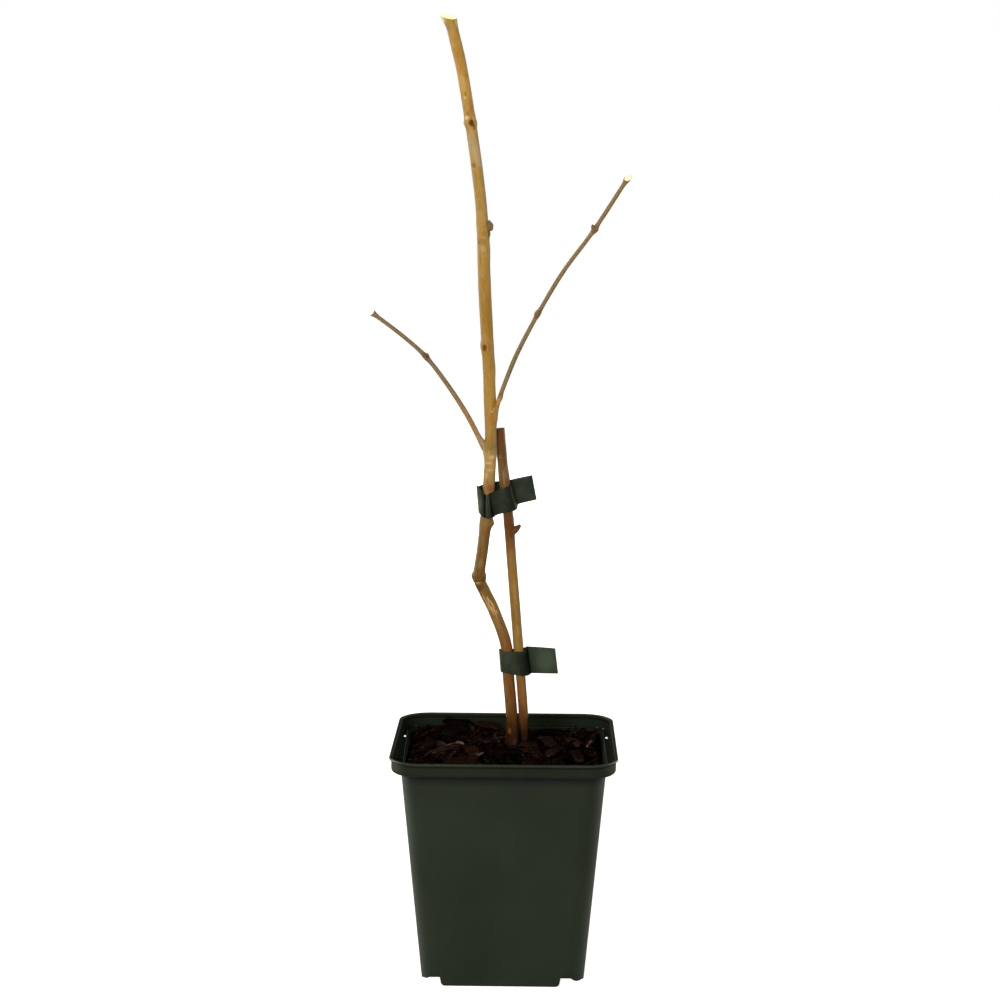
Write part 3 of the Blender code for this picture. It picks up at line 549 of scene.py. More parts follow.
def cut_wood_material(colour, glow=0.0):
    """Cut wood with a fine grain; glow: emission strength that makes the cut shine though it is no lamp, a painted
    highlight.
    """
    material, tree, shader = new_material("cut_wood", 0.6)
    where = object_place(tree)
    grain = noise_value(tree, where, 1800.0, 3.0)
    deep = tuple(channel * 0.8 for channel in colour)
    tint = ramp(tree, grain, ((0.35, deep), (0.65, colour)))
    tree.links.new(tint, shader.inputs["Base Color"])
    shader.inputs["Emission Color"].default_value = (*colour, 1.0)
    shader.inputs["Emission Strength"].default_value = glow
    add_bump(tree, shader, grain, 0.0001)
    return material


def tie_material(name, colour, painted_light):
    """Soft plastic strip: satin, with faint dust marks and the strip's tones, painted shade and light; the last
    argument: X, Y, Z and reach of a paler place, a painted highlight, mm.
    """
    material, tree, shader = new_material(name, 0.55)
    shader.inputs["Specular IOR Level"].default_value = 0.04
    where = object_place(tree)
    cloud = noise_value(tree, where, 160.0, 3.0)
    speck = noise_value(tree, where, 900.0, 3.0)
    dark = tuple(channel * 0.72 for channel in colour)
    light = tuple(channel * 1.3 for channel in colour)
    dusty = tuple(channel * 1.8 + 0.004 for channel in colour)
    tint = ramp(tree, cloud, ((0.3, dark), (0.7, light)))
    # A paler place round the given point: a painted highlight.
    away = add_node(tree, "ShaderNodeVectorMath", {"operation": "DISTANCE"}, i0=where)
    away.inputs[1].default_value = [value * MM for value in painted_light[:3]]
    near = math_node(tree, "SUBTRACT", 1.0, mask(tree, away.outputs["Value"], 0.2 * painted_light[3] * MM, painted_light[3] * MM))
    tint = blend_colours(tree, near, tint, tuple(channel * 1.75 for channel in colour))
    tint = blend_colours(tree, math_node(tree, "MULTIPLY", mask(tree, speck, 0.56, 0.74), 0.4), tint, dusty)
    # The strip's tones multiply its colour: painted shade and light.
    painted_light_tones = add_node(tree, "ShaderNodeAttribute", {"attribute_name": MARKS})
    tree.links.new(blend_colours(tree, 1.0, tint, painted_light_tones.outputs["Color"], "MULTIPLY"),
                   shader.inputs["Base Color"])
    grain = noise_value(tree, stretched(tree, where, (900.0, 900.0, 2600.0)), 1.0, 2.0)
    add_bump(tree, shader, math_node(tree, "ADD", grain, cloud), 0.00012)
    return material


def move_selected_corners(item, spread, growth, centre_half, height):
    """Shift the selected ring's four corners outwards and grow their rounding."""
    mesh = bmesh.from_edit_mesh(item.data)
    ring = [vertex.index for vertex in mesh.verts if vertex.select]
    for x_side in (-1, 1):
        for y_side in (-1, 1):
            mesh = bmesh.from_edit_mesh(item.data)
            mesh.verts.ensure_lookup_table()
            chosen = set()
            for index in ring:
                vertex = mesh.verts[index]
                if vertex.co.x * x_side > 0 and vertex.co.y * y_side > 0:
                    chosen.add(index)
            bpy.ops.mesh.select_all(action="DESELECT")
            for index in chosen:
                mesh.verts[index].select = True
            mesh.select_flush_mode()
            bmesh.update_edit_mesh(item.data)
            bpy.ops.transform.translate(value=(spread * x_side, spread * y_side, 0.0))
            centre = (centre_half * x_side, centre_half * y_side, height)
            bpy.ops.transform.resize(value=(growth, growth, 1.0), center_override=centre)
    mesh = bmesh.from_edit_mesh(item.data)
    mesh.verts.ensure_lookup_table()
    for index in ring:
        mesh.verts[index].select = True
    mesh.select_flush(True)
    bmesh.update_edit_mesh(item.data)


def square_solid(name, profile, corner_steps):
    """Raise a rounded square through a profile of half widths, heights and corner radii, in mm."""
    half, height, radius = profile[0]
    bpy.ops.object.select_all(action="DESELECT")
    bpy.ops.mesh.primitive_plane_add(size=2 * half * MM, location=(0, 0, height * MM))
    item = bpy.context.object
    item.name = name
    item.data.name = name
    place_in_mesh(item)
    bpy.ops.object.mode_set(mode="EDIT")
    bpy.ops.mesh.select_mode(type="VERT")
    bpy.ops.mesh.select_all(action="SELECT")
    bpy.ops.mesh.bevel(offset=radius * MM, segments=corner_steps, affect="VERTICES")
    bpy.ops.mesh.select_all(action="SELECT")
    for next_half, next_height, next_radius in profile[1:]:
        rise = (next_height - height) * MM
        bpy.ops.mesh.extrude_region_move(TRANSFORM_OT_translate={"value": (0, 0, rise)})
        centre_half = (next_half - next_radius) * MM
        spread = ((next_half - next_radius) - (half - radius)) * MM
        move_selected_corners(item, spread, next_radius / radius, centre_half, next_height * MM)
        half, height, radius = next_half, next_height, next_radius
    bpy.ops.mesh.select_all(action="SELECT")
    bpy.ops.mesh.normals_make_consistent(inside=False)
    bpy.ops.object.mode_set(mode="OBJECT")
    return item


def box(name, low, high):
    """A box between two corners, in mm."""
    centre = [(a + b) / 2 * MM for a, b in zip(low, high)]
    size = [(b - a) * MM for a, b in zip(low, high)]
    bpy.ops.object.select_all(action="DESELECT")
    bpy.ops.mesh.primitive_cube_add(size=1.0, location=centre, scale=size)
    item = bpy.context.object
    item.name = name
    place_in_mesh(item)
    return item


def corner_block(x_side, y_side, levels, reach):
    """A block that fills one corner, mm; levels: heights and where its two inner faces start there."""
    low, start = levels[0]
    middle = (start + reach) / 2 * MM
    bpy.ops.object.select_all(action="DESELECT")
    bpy.ops.mesh.primitive_plane_add(size=(reach - start) * MM,
                                     location=(middle * x_side, middle * y_side, low * MM))
    item = bpy.context.object
    item.name = "corner_block"
    place_in_mesh(item)
    bpy.ops.object.mode_set(mode="EDIT")
    bpy.ops.mesh.select_mode(type="VERT")
    bpy.ops.mesh.select_all(action="SELECT")
    for height, next_start in levels[1:]:
        bpy.ops.mesh.extrude_region_move(TRANSFORM_OT_translate={"value": (0, 0, (height - low) * MM)})
        mesh = bmesh.from_edit_mesh(item.data)
        for vertex in mesh.verts:
            if vertex.select:
                for axis, side in ((0, x_side), (1, y_side)):
                    if abs(vertex.co[axis]) < (start + 0.01) * MM:
                        vertex.co[axis] = next_start * side * MM
        bmesh.update_edit_mesh(item.data)
        low, start = height, next_start
    bpy.ops.mesh.select_all(action="SELECT")
    bpy.ops.mesh.normals_make_consistent(inside=False)
    bpy.ops.object.mode_set(mode="OBJECT")
    return item


def move_tool(item, x):
    """Shift a cutting tool along X, mm."""
    select_only(item)
    bpy.ops.transform.translate(value=(x * MM, 0.0, 0.0))
    place_in_mesh(item)


def pot_outside():
    """Half width, height and corner radius of each ring outside the pot, foot to rim."""
    top = POT_HEIGHT
    under = top - COLLAR_HEIGHT
    corner, collar, rim = CORNER_RADIUS, COLLAR_CORNER_RADIUS, RIM_CORNER_RADIUS
    return (
        (BODY_HALF_FOOT - 0.3, 0.0, corner - 0.3),
        (BODY_HALF_FOOT - 0.05, 0.3, corner - 0.05),
        (BODY_HALF_FOOT + 0.05, 1.0, corner),
        (BODY_HALF_TOP - 0.1, under - 2.4, corner),
        (BODY_HALF_TOP + 0.05, under - 1.4, corner + 0.05),
        (BODY_HALF_TOP + 0.35, under - 0.75, corner + 0.35),
        (BODY_HALF_TOP + 0.9, under - 0.3, corner + 0.9),
        (BODY_HALF_TOP + 1.8, under - 0.05, corner + 1.8),
        (COLLAR_HALF - 1.9, under, collar - 1.9),
        (COLLAR_HALF - 1.1, under + 0.18, collar - 1.1),
        (COLLAR_HALF - 0.5, under + 0.6, collar - 0.5),
        (COLLAR_HALF - 0.12, under + 1.25, collar - 0.12),
        (COLLAR_HALF, under + 2.1, collar),
        (COLLAR_HALF, top - 1.75, collar),
        (COLLAR_HALF + 0.15, top - 1.55, collar + 0.15),
        (RIM_HALF - 0.45, top - 1.35, rim - 0.45),
        (RIM_HALF - 0.08, top - 1.1, rim - 0.08),
        (RIM_HALF, top - 0.8, rim),
        (RIM_HALF - 0.05, top - 0.38, rim - 0.05),
        (RIM_HALF - 0.2, top - 0.12, rim - 0.2),
        (RIM_HALF - 0.5, top, rim - 0.5),
    )


def pot_inside(clear=0.0):
    """Half width, height and corner radius of each ring of the space in the pot, floor to rim."""
    ledge = POT_HEIGHT - LEDGE_DEPTH
    inner = WALL + clear
    corner, rim = CORNER_RADIUS - inner, COLLAR_CORNER_RADIUS - WALL
    slope = (BODY_HALF_TOP - BODY_HALF_FOOT) / (POT_HEIGHT - COLLAR_HEIGHT)
    wall = BODY_HALF_TOP - inner
    collar = COLLAR_HALF - WALL
    return (
        (BODY_HALF_FOOT + slope * FLOOR - inner, FLOOR, corner),
        (wall, ledge - 5.0, corner),
        (wall + 0.15, ledge - 3.6, corner + 0.15),
        (wall + 0.4, ledge - 2.2, corner + 0.4),
        (LEDGE_LIP - 1.0, ledge - 0.6, corner + 1.5),
        (LEDGE_LIP - 0.4, ledge - 0.1, corner + 2.1),
        (LEDGE_LIP - 0.1, ledge, corner + 2.4),
        (LEDGE_LIP + 0.2, ledge - 0.05, corner + 2.7),
        (LEDGE_LIP + 0.4, ledge - 0.35, corner + 2.9),
        (LEDGE_LIP + 0.8, ledge - 0.45, corner + 3.3),
        (collar - 0.6, ledge - 0.45, rim - 0.6),
        (collar - 0.15, ledge - 0.2, rim - 0.15),
        (collar, ledge + 0.4, rim),
        (collar + 0.2, POT_HEIGHT - 1.3, rim + 0.2),
        (collar + 0.42, POT_HEIGHT - 0.5, rim + 0.42),
        (collar + 0.9, POT_HEIGHT - 0.08, rim + 0.9),
        (collar + 1.3, POT_HEIGHT + 0.3, rim + 1.3),
    )


class BRAMBLE_OT_pot(Operator):
    """Square nursery pot with its bead, collar, ledge, cross-shaped foot and drain holes"""

    bl_idname = "bramble.pot"
    bl_label = "Pot"

    def execute(self, context):
        settings = context.scene.bramble_pot
        steps = settings.corner_steps
        pot = square_solid("pot_shell", pot_outside(), steps)
        space = square_solid("pot_space", pot_inside(), steps)
        colour = tuple(settings.colour)
        pot.data.materials.append(pot_material("pot_plastic", colour, settings.gloss, 0.3))
        # Inside the pot, a copy of the plastic with almost no gloss and a paler colour: painted light.
        dull = (colour[0] * 1.3, colour[1] * 1.15, colour[2] * 1.6)
        space.data.materials.append(pot_material("pot_inside", dull, 0.7, 0.004))
        # The lip on the ledge: a much paler copy of the plastic, a painted highlight.
        bright = tuple(channel * 3.2 for channel in colour)
        space.data.materials.append(pot_material("pot_lip_painted_highlight", bright, settings.gloss, 0.16))
        self.mark_lip(space)
        self.slant_left_lip(space)
        self.raise_floor(space)
        cut_with(pot, space, materials="TRANSFER")
        self.cut_foot(pot)
        self.cut_small_openings(pot)
        self.add_ledge_ribs(pot)
        # The collar: a copy with little gloss and a paler colour that stands in for its sheen, a painted sheen.
        collar_painted_sheen = (colour[0] * 1.4, colour[1] * 1.25, colour[2] * 1.6)
        pot.data.materials.append(pot_material("pot_collar_painted_sheen", collar_painted_sheen, settings.gloss, 0.06))
        # The bead and the rim's edges: a much paler copy with little gloss, a painted highlight.
        painted_light = (colour[0] * 3.0, colour[1] * 2.5, colour[2] * 3.3)
        pot.data.materials.append(pot_material("pot_bead_painted_highlight", painted_light, settings.gloss, 0.04))
        self.mark_rim(pot)
        smooth_faces(pot, radians(32))
        weighted = pot.modifiers.new("Even shading", "WEIGHTED_NORMAL")
        weighted.keep_sharp = True
        apply_modifiers(pot)
        keep_piece(pot, "pot", "pot")
        return {"FINISHED"}

    def slant_left_lip(self, space):
        """Let the lip on the left run a little askew, as on a filled pot whose wall bulges."""
        ledge = POT_HEIGHT - LEDGE_DEPTH
        for vertex in space.data.vertices:
            x, y, z = vertex.co / MM
            if x < 0 and -LEDGE_LIP - 1.0 < x < 2.0 - LEDGE_LIP and -0.7 < z - ledge < 0.05:
                vertex.co.x = min(x + 0.4 - y / 36.0, 0.6 - BODY_HALF_TOP) * MM

    def mark_lip(self, space):
        """Give the lip on the ledge a much paler copy of the plastic, a painted highlight."""
        ledge = POT_HEIGHT - LEDGE_DEPTH
        for face in space.data.polygons:
            x, y, z = face.center / MM
            edge = max(abs(x), abs(y)) - LEDGE_LIP
            if abs(z - ledge) < 0.12 and -0.3 < edge < 0.12:
                face.material_index = 1

    def mark_rim(self, pot):
        """Give the rim's edges and the bead a much paler copy of the plastic, a painted highlight, and the collar
        below the bead a copy with less gloss and a paler colour, a painted sheen.
        """
        bead = POT_HEIGHT - 1.5
        for face in pot.data.polygons:
            x, y, z = face.center / MM
            if face.material_index == 1 and z > POT_HEIGHT - 0.8:
                face.material_index = 0
            if face.material_index == 0 and z > POT_HEIGHT - COLLAR_HEIGHT + 0.9:
                face.material_index = len(pot.data.materials) - (2 if z < bead else 1)

    def raise_floor(self, space):
        """Lift the floor of the space over the pot's raised corners."""
        high = FOOT_LIFT + FLOOR
        start = FOOT_HALF_LOW - FLOOR
        for x_side in (-1, 1):
            for y_side in (-1, 1):
                block = corner_block(x_side, y_side, ((-2.0, start), (high, start + 1.2)), RIM_HALF)
                move_tool(block, FOOT_SHIFT)
                cut_with(space, block)

    def cut_foot(self, pot):
        """Cut the corners off the foot, whose lower corners are round, and hang a small lug at each."""
        flank = (FOOT_HALF_HIGH - FOOT_HALF_LOW) / FOOT_LIFT
        levels = [(-1.0, FOOT_HALF_LOW - FOOT_ROUND)]
        for step in range(6):
            turn = radians(18.0 * step)
            height = FOOT_ROUND * (1.0 - cos(turn))
            levels.append((height, FOOT_HALF_LOW + flank * height - FOOT_ROUND * (1.0 - sin(turn))))
        levels.append((FOOT_LIFT, FOOT_HALF_HIGH))
        for x_side in (-1, 1):
            for y_side in (-1, 1):
                block = corner_block(x_side, y_side, levels, RIM_HALF)
                move_tool(block, FOOT_SHIFT)
                cut_with(pot, block)
                cut_with(pot, self.corner_lug(x_side, y_side), "UNION")

    def corner_lug(self, x_side, y_side):
        """A curved lug with a round lower edge that carries the wall on round a corner."""
        start, end, drop = LUGS[0] if x_side < 0 else LUGS[1]
        slope = (BODY_HALF_TOP - BODY_HALF_FOOT) / (POT_HEIGHT - COLLAR_HEIGHT)
        parts = 20
        mesh = bmesh.new()
        rows = []
        for i in range(parts + 1):
            along = 2.0 * i / parts - 1.0
            turn = radians(start + (end - start) * i / parts)
            depth = drop * max(0.0, 1.0 - abs(along) ** 2.4) ** 0.5
            row = []
            for height, inward in ((FOOT_LIFT + 1.2, 0.05), (FOOT_LIFT - depth - 0.02, 0.05),
                                   (FOOT_LIFT - depth - 0.02, 2.1), (FOOT_LIFT + 1.2, 1.6)):
                middle = BODY_HALF_FOOT + slope * height - CORNER_RADIUS
                reach = CORNER_RADIUS - inward
                row.append(mesh.verts.new(Vector(((middle + reach * cos(turn)) * x_side,
                                                  (middle + reach * sin(turn)) * y_side, height)) * MM))
            rows.append(row)
        for low, high in zip(rows, rows[1:]):
            for k in range(4):
                mesh.faces.new((low[k], low[(k + 1) % 4], high[(k + 1) % 4], high[k]))
        mesh.faces.new(rows[0])
        mesh.faces.new(rows[-1])
        return mesh_piece("corner_lug", mesh, (), radians(30))

    def cut_small_openings(self, pot):
        """Drain holes, label slots in the ledge and the small mould mark low on the front."""
        for x in (-DRAIN_PLACE, DRAIN_PLACE):
            for y in (-DRAIN_PLACE, DRAIN_PLACE):
                bpy.ops.object.select_all(action="DESELECT")
                bpy.ops.mesh.primitive_cylinder_add(
                    vertices=32, radius=DRAIN_RADIUS * MM, depth=12.0 * MM,
                    location=(x * MM, y * MM, (FOOT_LIFT + 1.0) * MM))
                hole = bpy.context.object
                place_in_mesh(hole)
                cut_with(pot, hole)
        ledge = POT_HEIGHT - LEDGE_DEPTH
        wide, long = LABEL_SLOT
        across, middle = LABEL_SLOT_PLACE
        for x in (-across, across):
            cut_with(pot, box("slot", (x - wide / 2, middle - long / 2, ledge - 3.0),
                              (x + wide / 2, middle + long / 2, ledge + 1.0)))
        front = -(BODY_HALF_FOOT + 0.6)
        cut_with(pot, box("mark", (-3.4, front - 1.0, 5.8), (0.6, front + 0.9, 7.5)))

    def add_ledge_ribs(self, pot):
        """Thin ribs across the ledge's gutter, between the slots and the front corners."""
        ledge = POT_HEIGHT - LEDGE_DEPTH
        for side in (-1, 1):
            span = sorted((side * (LEDGE_LIP - 0.2), side * (COLLAR_HALF - WALL + 0.3)))
            rib = box("rib", (span[0], -22.5, ledge - 0.7), (span[1], -21.5, ledge + 0.3))
            cut_with(pot, rib, "UNION")


def soil_height(x, y):
    """Height of the compost's surface, mm: a mound, humps of mulch, a level bed at the canes."""
    away = Vector((x - MOUND_MIDDLE[0], y - MOUND_MIDDLE[1])).length
    bed = CANE_FOOT - PIECE_GAP
    mound = SOIL_LEVEL + SOIL_MOUND * exp(-(away / 32.0) ** 2)
    humps = 1.5 * noise.noise(Vector((x / 17.0, y / 14.0, 3.7)))
    back_left = 6.0 * exp(-((x + 29.0) / 20.0) ** 2 - ((y - 60.0) / 15.0) ** 2)
    free = mound + humps + back_left
    share = min(max((away - CANE_BED) / 8.0, 0.0), 1.0)
    return bed + (free - bed) * share * share * (3 - 2 * share)


def into_rounded_square(x, y, half, radius):
    """Pull a point of a square into the same square with round corners."""
    core = half - radius
    over_x, over_y = abs(x) - core, abs(y) - core
    if over_x <= 0 or over_y <= 0:
        return x, y
    square = max(over_x, over_y)
    length = Vector((over_x, over_y)).length
    scale = square / length
    new_x, new_y = core + over_x * scale, core + over_y * scale
    return (new_x if x > 0 else -new_x), (new_y if y > 0 else -new_y)


class BRAMBLE_OT_compost(Operator):
    """Moist compost that fills the pot, crumbly on top"""

    bl_idname = "bramble.compost"
    bl_label = "Compost"

    def execute(self, context):
        settings = context.scene.bramble_mulch
        half = BODY_HALF_TOP - WALL - PIECE_GAP
        cells = 190
        bpy.ops.object.select_all(action="DESELECT")
        bpy.ops.mesh.primitive_grid_add(x_subdivisions=cells, y_subdivisions=cells,
                                        size=2 * half * MM, location=(0, 0, 0))
        bed = context.object
        bed.name = "compost_bed"
        radius = CORNER_RADIUS - WALL - PIECE_GAP
        for vertex in bed.data.vertices:
            x, y = into_rounded_square(vertex.co.x / MM, vertex.co.y / MM, half, radius)
            crumbs = 0.9 * abs(noise.noise(Vector((x / 2.1, y / 2.1, 0.0))))
            crumbs += 0.45 * abs(noise.noise(Vector((x / 0.9, y / 0.9, 5.0))))
            pits = max(0.0, noise.noise(Vector((x / 5.5, y / 5.5, 9.0))) - 0.05) * 4.0
            height = soil_height(x, y) + crumbs - pits
            vertex.co = Vector((x, y, height)) * MM
        self.close_below(bed)
        bed.data.materials.append(compost_material(tuple(settings.compost)))
        smooth_faces(bed, radians(50))
        keep_piece(bed, "compost", "compost")
        return {"FINISHED"}

    def close_below(self, bed):
        """Take the rim of the surface down to the pot's floor and close it."""
        floor = FLOOR + FOOT_LIFT + 0.6
        select_only(bed)
        bpy.ops.object.mode_set(mode="EDIT")
        bpy.ops.mesh.select_mode(type="EDGE")
        bpy.ops.mesh.select_all(action="DESELECT")
        bpy.ops.mesh.select_non_manifold()
        bpy.ops.mesh.extrude_region_move()
        mesh = bmesh.from_edit_mesh(bed.data)
        top = BODY_HALF_TOP - WALL - PIECE_GAP
        foot = BODY_HALF_FOOT - WALL - PIECE_GAP + 0.7
        for vertex in mesh.verts:
            if vertex.select:
                vertex.co.z = floor * MM
                vertex.co.x *= foot / top
                vertex.co.y *= foot / top
        bmesh.update_edit_mesh(bed.data)
        bpy.ops.mesh.edge_face_add()
        bpy.ops.mesh.select_all(action="SELECT")
        bpy.ops.mesh.normals_make_consistent(inside=False)
        bpy.ops.object.mode_set(mode="OBJECT")


def flake(mesh, layers, centre, ahead, aside, size, seed, bow, sections, slot):
    """Add one flake of shredded bark to a bmesh; sizes in mm.

    layers: the UV map that runs along the flake, and the one whose X grows towards its ends.
    """
    uv_layer, end_layer = layers
    length, width, thickness = size
    up = ahead.cross(aside).normalized()
    outline = ((-0.95, 0.0), (-0.3, -0.06), (0.35, 0.03), (0.95, 0.05), (1.0, 0.5),
               (0.85, 1.0), (0.2, 0.86), (-0.35, 1.05), (-0.85, 0.9), (-1.0, 0.45))
    rings = []
    for i in range(sections + 1):
        share = i / sections
        ends = abs(2 * share - 1)
        ragged = 0.45 * noise.noise(Vector((seed * 5.3, share * 5.0, 0.0)))
        half = width / 2 * max(0.12, 1.0 - 0.4 * ends ** 3 + ragged)
        shift = 0.3 * width * noise.noise(Vector((seed * 3.1, share * 3.0, 9.0)))
        thick = thickness * (1.0 - 0.5 * ends ** 3)
        base = centre + ahead * ((share - 0.5) * length) + up * (bow * (1 - (2 * share - 1) ** 2))
        ring = []
        for k, (across, level) in enumerate(outline):
            rough = 0.16 * thickness * noise.noise(Vector((seed * 1.7, share * 9.0, k * 1.3)))
            uneven = 0.07 * length * noise.noise(Vector((seed * 2.3, k * 0.9, i * 0.2))) if i in (0, sections) else 0.0
            place = base + aside * (across * half + shift) + up * (level * thick + rough)
            ring.append(mesh.verts.new((place + ahead * uneven) * MM))
        rings.append(ring)
    count = len(outline)
    faces = []
    for low, high in zip(rings, rings[1:]):
        for k in range(count):
            following = (k + 1) % count
            faces.append(mesh.faces.new((low[k], low[following], high[following], high[k])))
    faces.append(mesh.faces.new(list(reversed(rings[0]))))
    faces.append(mesh.faces.new(rings[-1]))
    where = {}
    for i, ring in enumerate(rings):
        for k, vertex in enumerate(ring):
            along = (k / count + seed * 0.37, i / sections * length / 12.0 + seed * 0.61)
            where[vertex] = along, (abs(2 * i / sections - 1), 0.0)
    for face in faces:
        face.material_index = slot
        face.smooth = True
        for loop in face.loops:
            loop[uv_layer].uv, loop[end_layer].uv = where[loop.vert]


def flake_mesh():
    """An empty bmesh with the two UV maps of the flakes."""
    mesh = bmesh.new()
    return mesh, (mesh.loops.layers.uv.new("UVMap"), mesh.loops.layers.uv.new("Ends"))


def mesh_piece(name, mesh, materials, smooth_angle):
    """Make an object of a bmesh, with its materials and smooth shading."""
    bmesh.ops.recalc_face_normals(mesh, faces=mesh.faces)
    data = bpy.data.meshes.new(name)
    mesh.to_mesh(data)
    mesh.free()
    for material in materials:
        data.materials.append(material)
    item = bpy.data.objects.new(name, data)
    bpy.context.scene.collection.objects.link(item)
    smooth_faces(item, smooth_angle)
    return item


class BRAMBLE_OT_mulch(Operator):
    """Bark mulch: the large chips and several hundred shreds between them"""

    bl_idname = "bramble.mulch"
    bl_label = "Bark mulch"

    def execute(self, context):
        settings = context.scene.bramble_mulch
        kinds = (
            ("bark_dark", srgb(18, 11, 7), 0.6), ("bark_red", srgb(36, 20, 15), 0.7),
            ("bark_brown", tuple(settings.chip), 0.7), ("bark_lit", srgb(58, 39, 28), 0.7),
            ("bark_ash", srgb(44, 36, 30), 0.7), ("bark_dusty", srgb(70, 52, 42), 0.7),
            ("bark_pale", srgb(118, 98, 80), 0.7), ("bark_orange", srgb(54, 31, 17), 0.7),
            ("bark_pink", srgb(46, 29, 26), 0.8),
        )
        materials = [chip_material(*kind) for kind in kinds]
        self.large_chips(materials)
        self.shreds(settings, materials)
        return {"FINISHED"}

    def large_chips(self, materials):
        """The chips that the CAD has, each rougher and finer, and the smaller ones that stand out."""
        kinds = (3, 7, 0, 2, 1, 4, 3, 8, 2, 2, 1, 0, 0, 2)
        mesh, layers = flake_mesh()
        for number, (x, y, turn, length, width) in enumerate(BARK_CHIPS, start=1):
            heading = radians(turn)
            way = Vector((cos(heading), sin(heading)))
            side = Vector((-way.y, way.x))
            ends = [soil_height(x + way.x * d, y + way.y * d) for d in (-length / 2, length / 2)]
            sides = [soil_height(x + side.x * d, y + side.y * d) for d in (-width / 2, width / 2)]
            ahead = Vector((way.x * length, way.y * length, ends[1] - ends[0])).normalized()
            aside = Vector((side.x * width, side.y * width, sides[1] - sides[0])).normalized()
            centre = Vector((x, y, soil_height(x, y) + 1.9))
            flake(mesh, layers, centre, ahead, aside, (length, width, 1.7), number, 0.8, 16,
                  kinds[number - 1])
        for number, (x, y, lift, turn, tilt, roll, length, width, thick, kind) in enumerate(SMALL_CHIPS):
            ahead, aside = self.lie(radians(turn), radians(tilt), radians(roll))
            flake(mesh, layers, Vector((x, y, soil_height(x, y) + lift)), ahead, aside, (length, width, thick),
                  40 + number, 0.4, 9, kind)
        chips = mesh_piece("bark_chips", mesh, materials, radians(40))
        keep_piece(chips, "chip", *[f"bark_chip_{n}" for n in range(1, len(BARK_CHIPS) + 1)])

    def lie(self, heading, tilt, roll):
        """The lengthwise and sideways directions of a flake."""
        turn = (Matrix.Rotation(heading, 3, "Z") @ Matrix.Rotation(-tilt, 3, "Y")
                @ Matrix.Rotation(roll, 3, "X"))
        return turn @ Vector((1, 0, 0)), turn @ Vector((0, 1, 0))

    def over_strand(self, x, y):
        """Whether a place lies on one of the thin pale strands, which stay uncovered."""
        for mid_x, mid_y, _, turn, _, _, length, width, _, kind in SMALL_CHIPS:
            if kind not in (5, 6, 7, 8):
                continue
            way = Vector((cos(radians(turn)), sin(radians(turn))))
            off = Vector((x - mid_x, y - mid_y))
            if abs(off.dot(way)) < length / 2 and abs(off.cross(way)) < width / 2 + 2.2:
                return True
        return False

    def shreds(self, settings, materials):
        """Small pieces strewn by a seeded rule, clear of the canes' feet."""
        dice = random.Random(settings.seed)
        mesh, layers = flake_mesh()
        reach = BODY_HALF_TOP - WALL - 2.0
        for number in range(settings.pieces):
            x, y = dice.uniform(-reach, reach), dice.uniform(-reach, reach)
            length = dice.uniform(2.5, 8.0) if dice.random() < 0.75 else dice.uniform(8.0, 17.0)
            width = min(length * dice.uniform(0.14, 0.42), 4.6)
            tilt, roll = dice.gauss(0, 0.33), dice.gauss(0, 0.6)
            ahead, aside = self.lie(dice.uniform(0, tau), tilt, roll)
            lift = dice.uniform(-0.6, 1.3)
            kind = dice.choices((0, 1, 2, 5, 4, 7, 6), (12, 6, 4, 0.5, 0.3, 0.4, 0.03))[0]
            bow = dice.uniform(-0.4, 1.0)
            near = min(Vector((x - foot[0], y - foot[1])).length for foot in
                       (TALL_CANE_ROUTE[0], SHORT_CANE_ROUTE[0]))
            if near < 4.4 + length * 0.3 or self.over_strand(x, y):
                continue
            margin = length / 2 + 1.0
            x = min(max(x, -BODY_HALF_TOP + WALL + margin), BODY_HALF_TOP - WALL - margin)
            y = min(max(y, -BODY_HALF_TOP + WALL + margin), BODY_HALF_TOP - WALL - margin)
            flake(mesh, layers, Vector((x, y, soil_height(x, y) + lift)), ahead, aside,
                  (length, width, dice.uniform(0.4, 1.1)), 80 + number, bow, 4, kind)
        shreds = mesh_piece("bark_shreds", mesh, materials, radians(40))
        keep_piece(shreds, "chip")


def smooth_route(knots, step):
    """Points at equal steps along a smooth curve through the knots."""
    points = [Vector(knot) for knot in knots]
    ends = [2 * points[0] - points[1]] + points + [2 * points[-1] - points[-2]]
    fine = []
    for a, b, c, d in zip(ends, ends[1:], ends[2:], ends[3:]):
        parts = 60
        for i in range(parts):
            t = i / parts
            fine.append(0.5 * (2 * b + (c - a) * t + (2 * a - 5 * b + 4 * c - d) * t ** 2
                               + (3 * b - a - 3 * c + d) * t ** 3))
    fine.append(points[-1])
    lengths = [0.0]
    for a, b in zip(fine, fine[1:]):
        lengths.append(lengths[-1] + (b - a).length)
    count = max(2, round(lengths[-1] / step))
    route = []
    at = 0
    for i in range(count + 1):
        want = lengths[-1] * i / count
        while at < len(lengths) - 2 and lengths[at + 1] < want:
            at += 1
        span = lengths[at + 1] - lengths[at]
        share = (want - lengths[at]) / span if span else 0.0
        route.append(fine[at].lerp(fine[at + 1], min(share, 1.0)))
    return route


def hump(distance, width):
    """A smooth hump, one at its middle and near nought a width away."""
    return exp(-(distance / width) ** 2 * 2.0)


def turn_between(angle, degrees):
    """Signed turn from an angle in degrees to one in radians."""
    return (angle - radians(degrees) + pi) % tau - pi


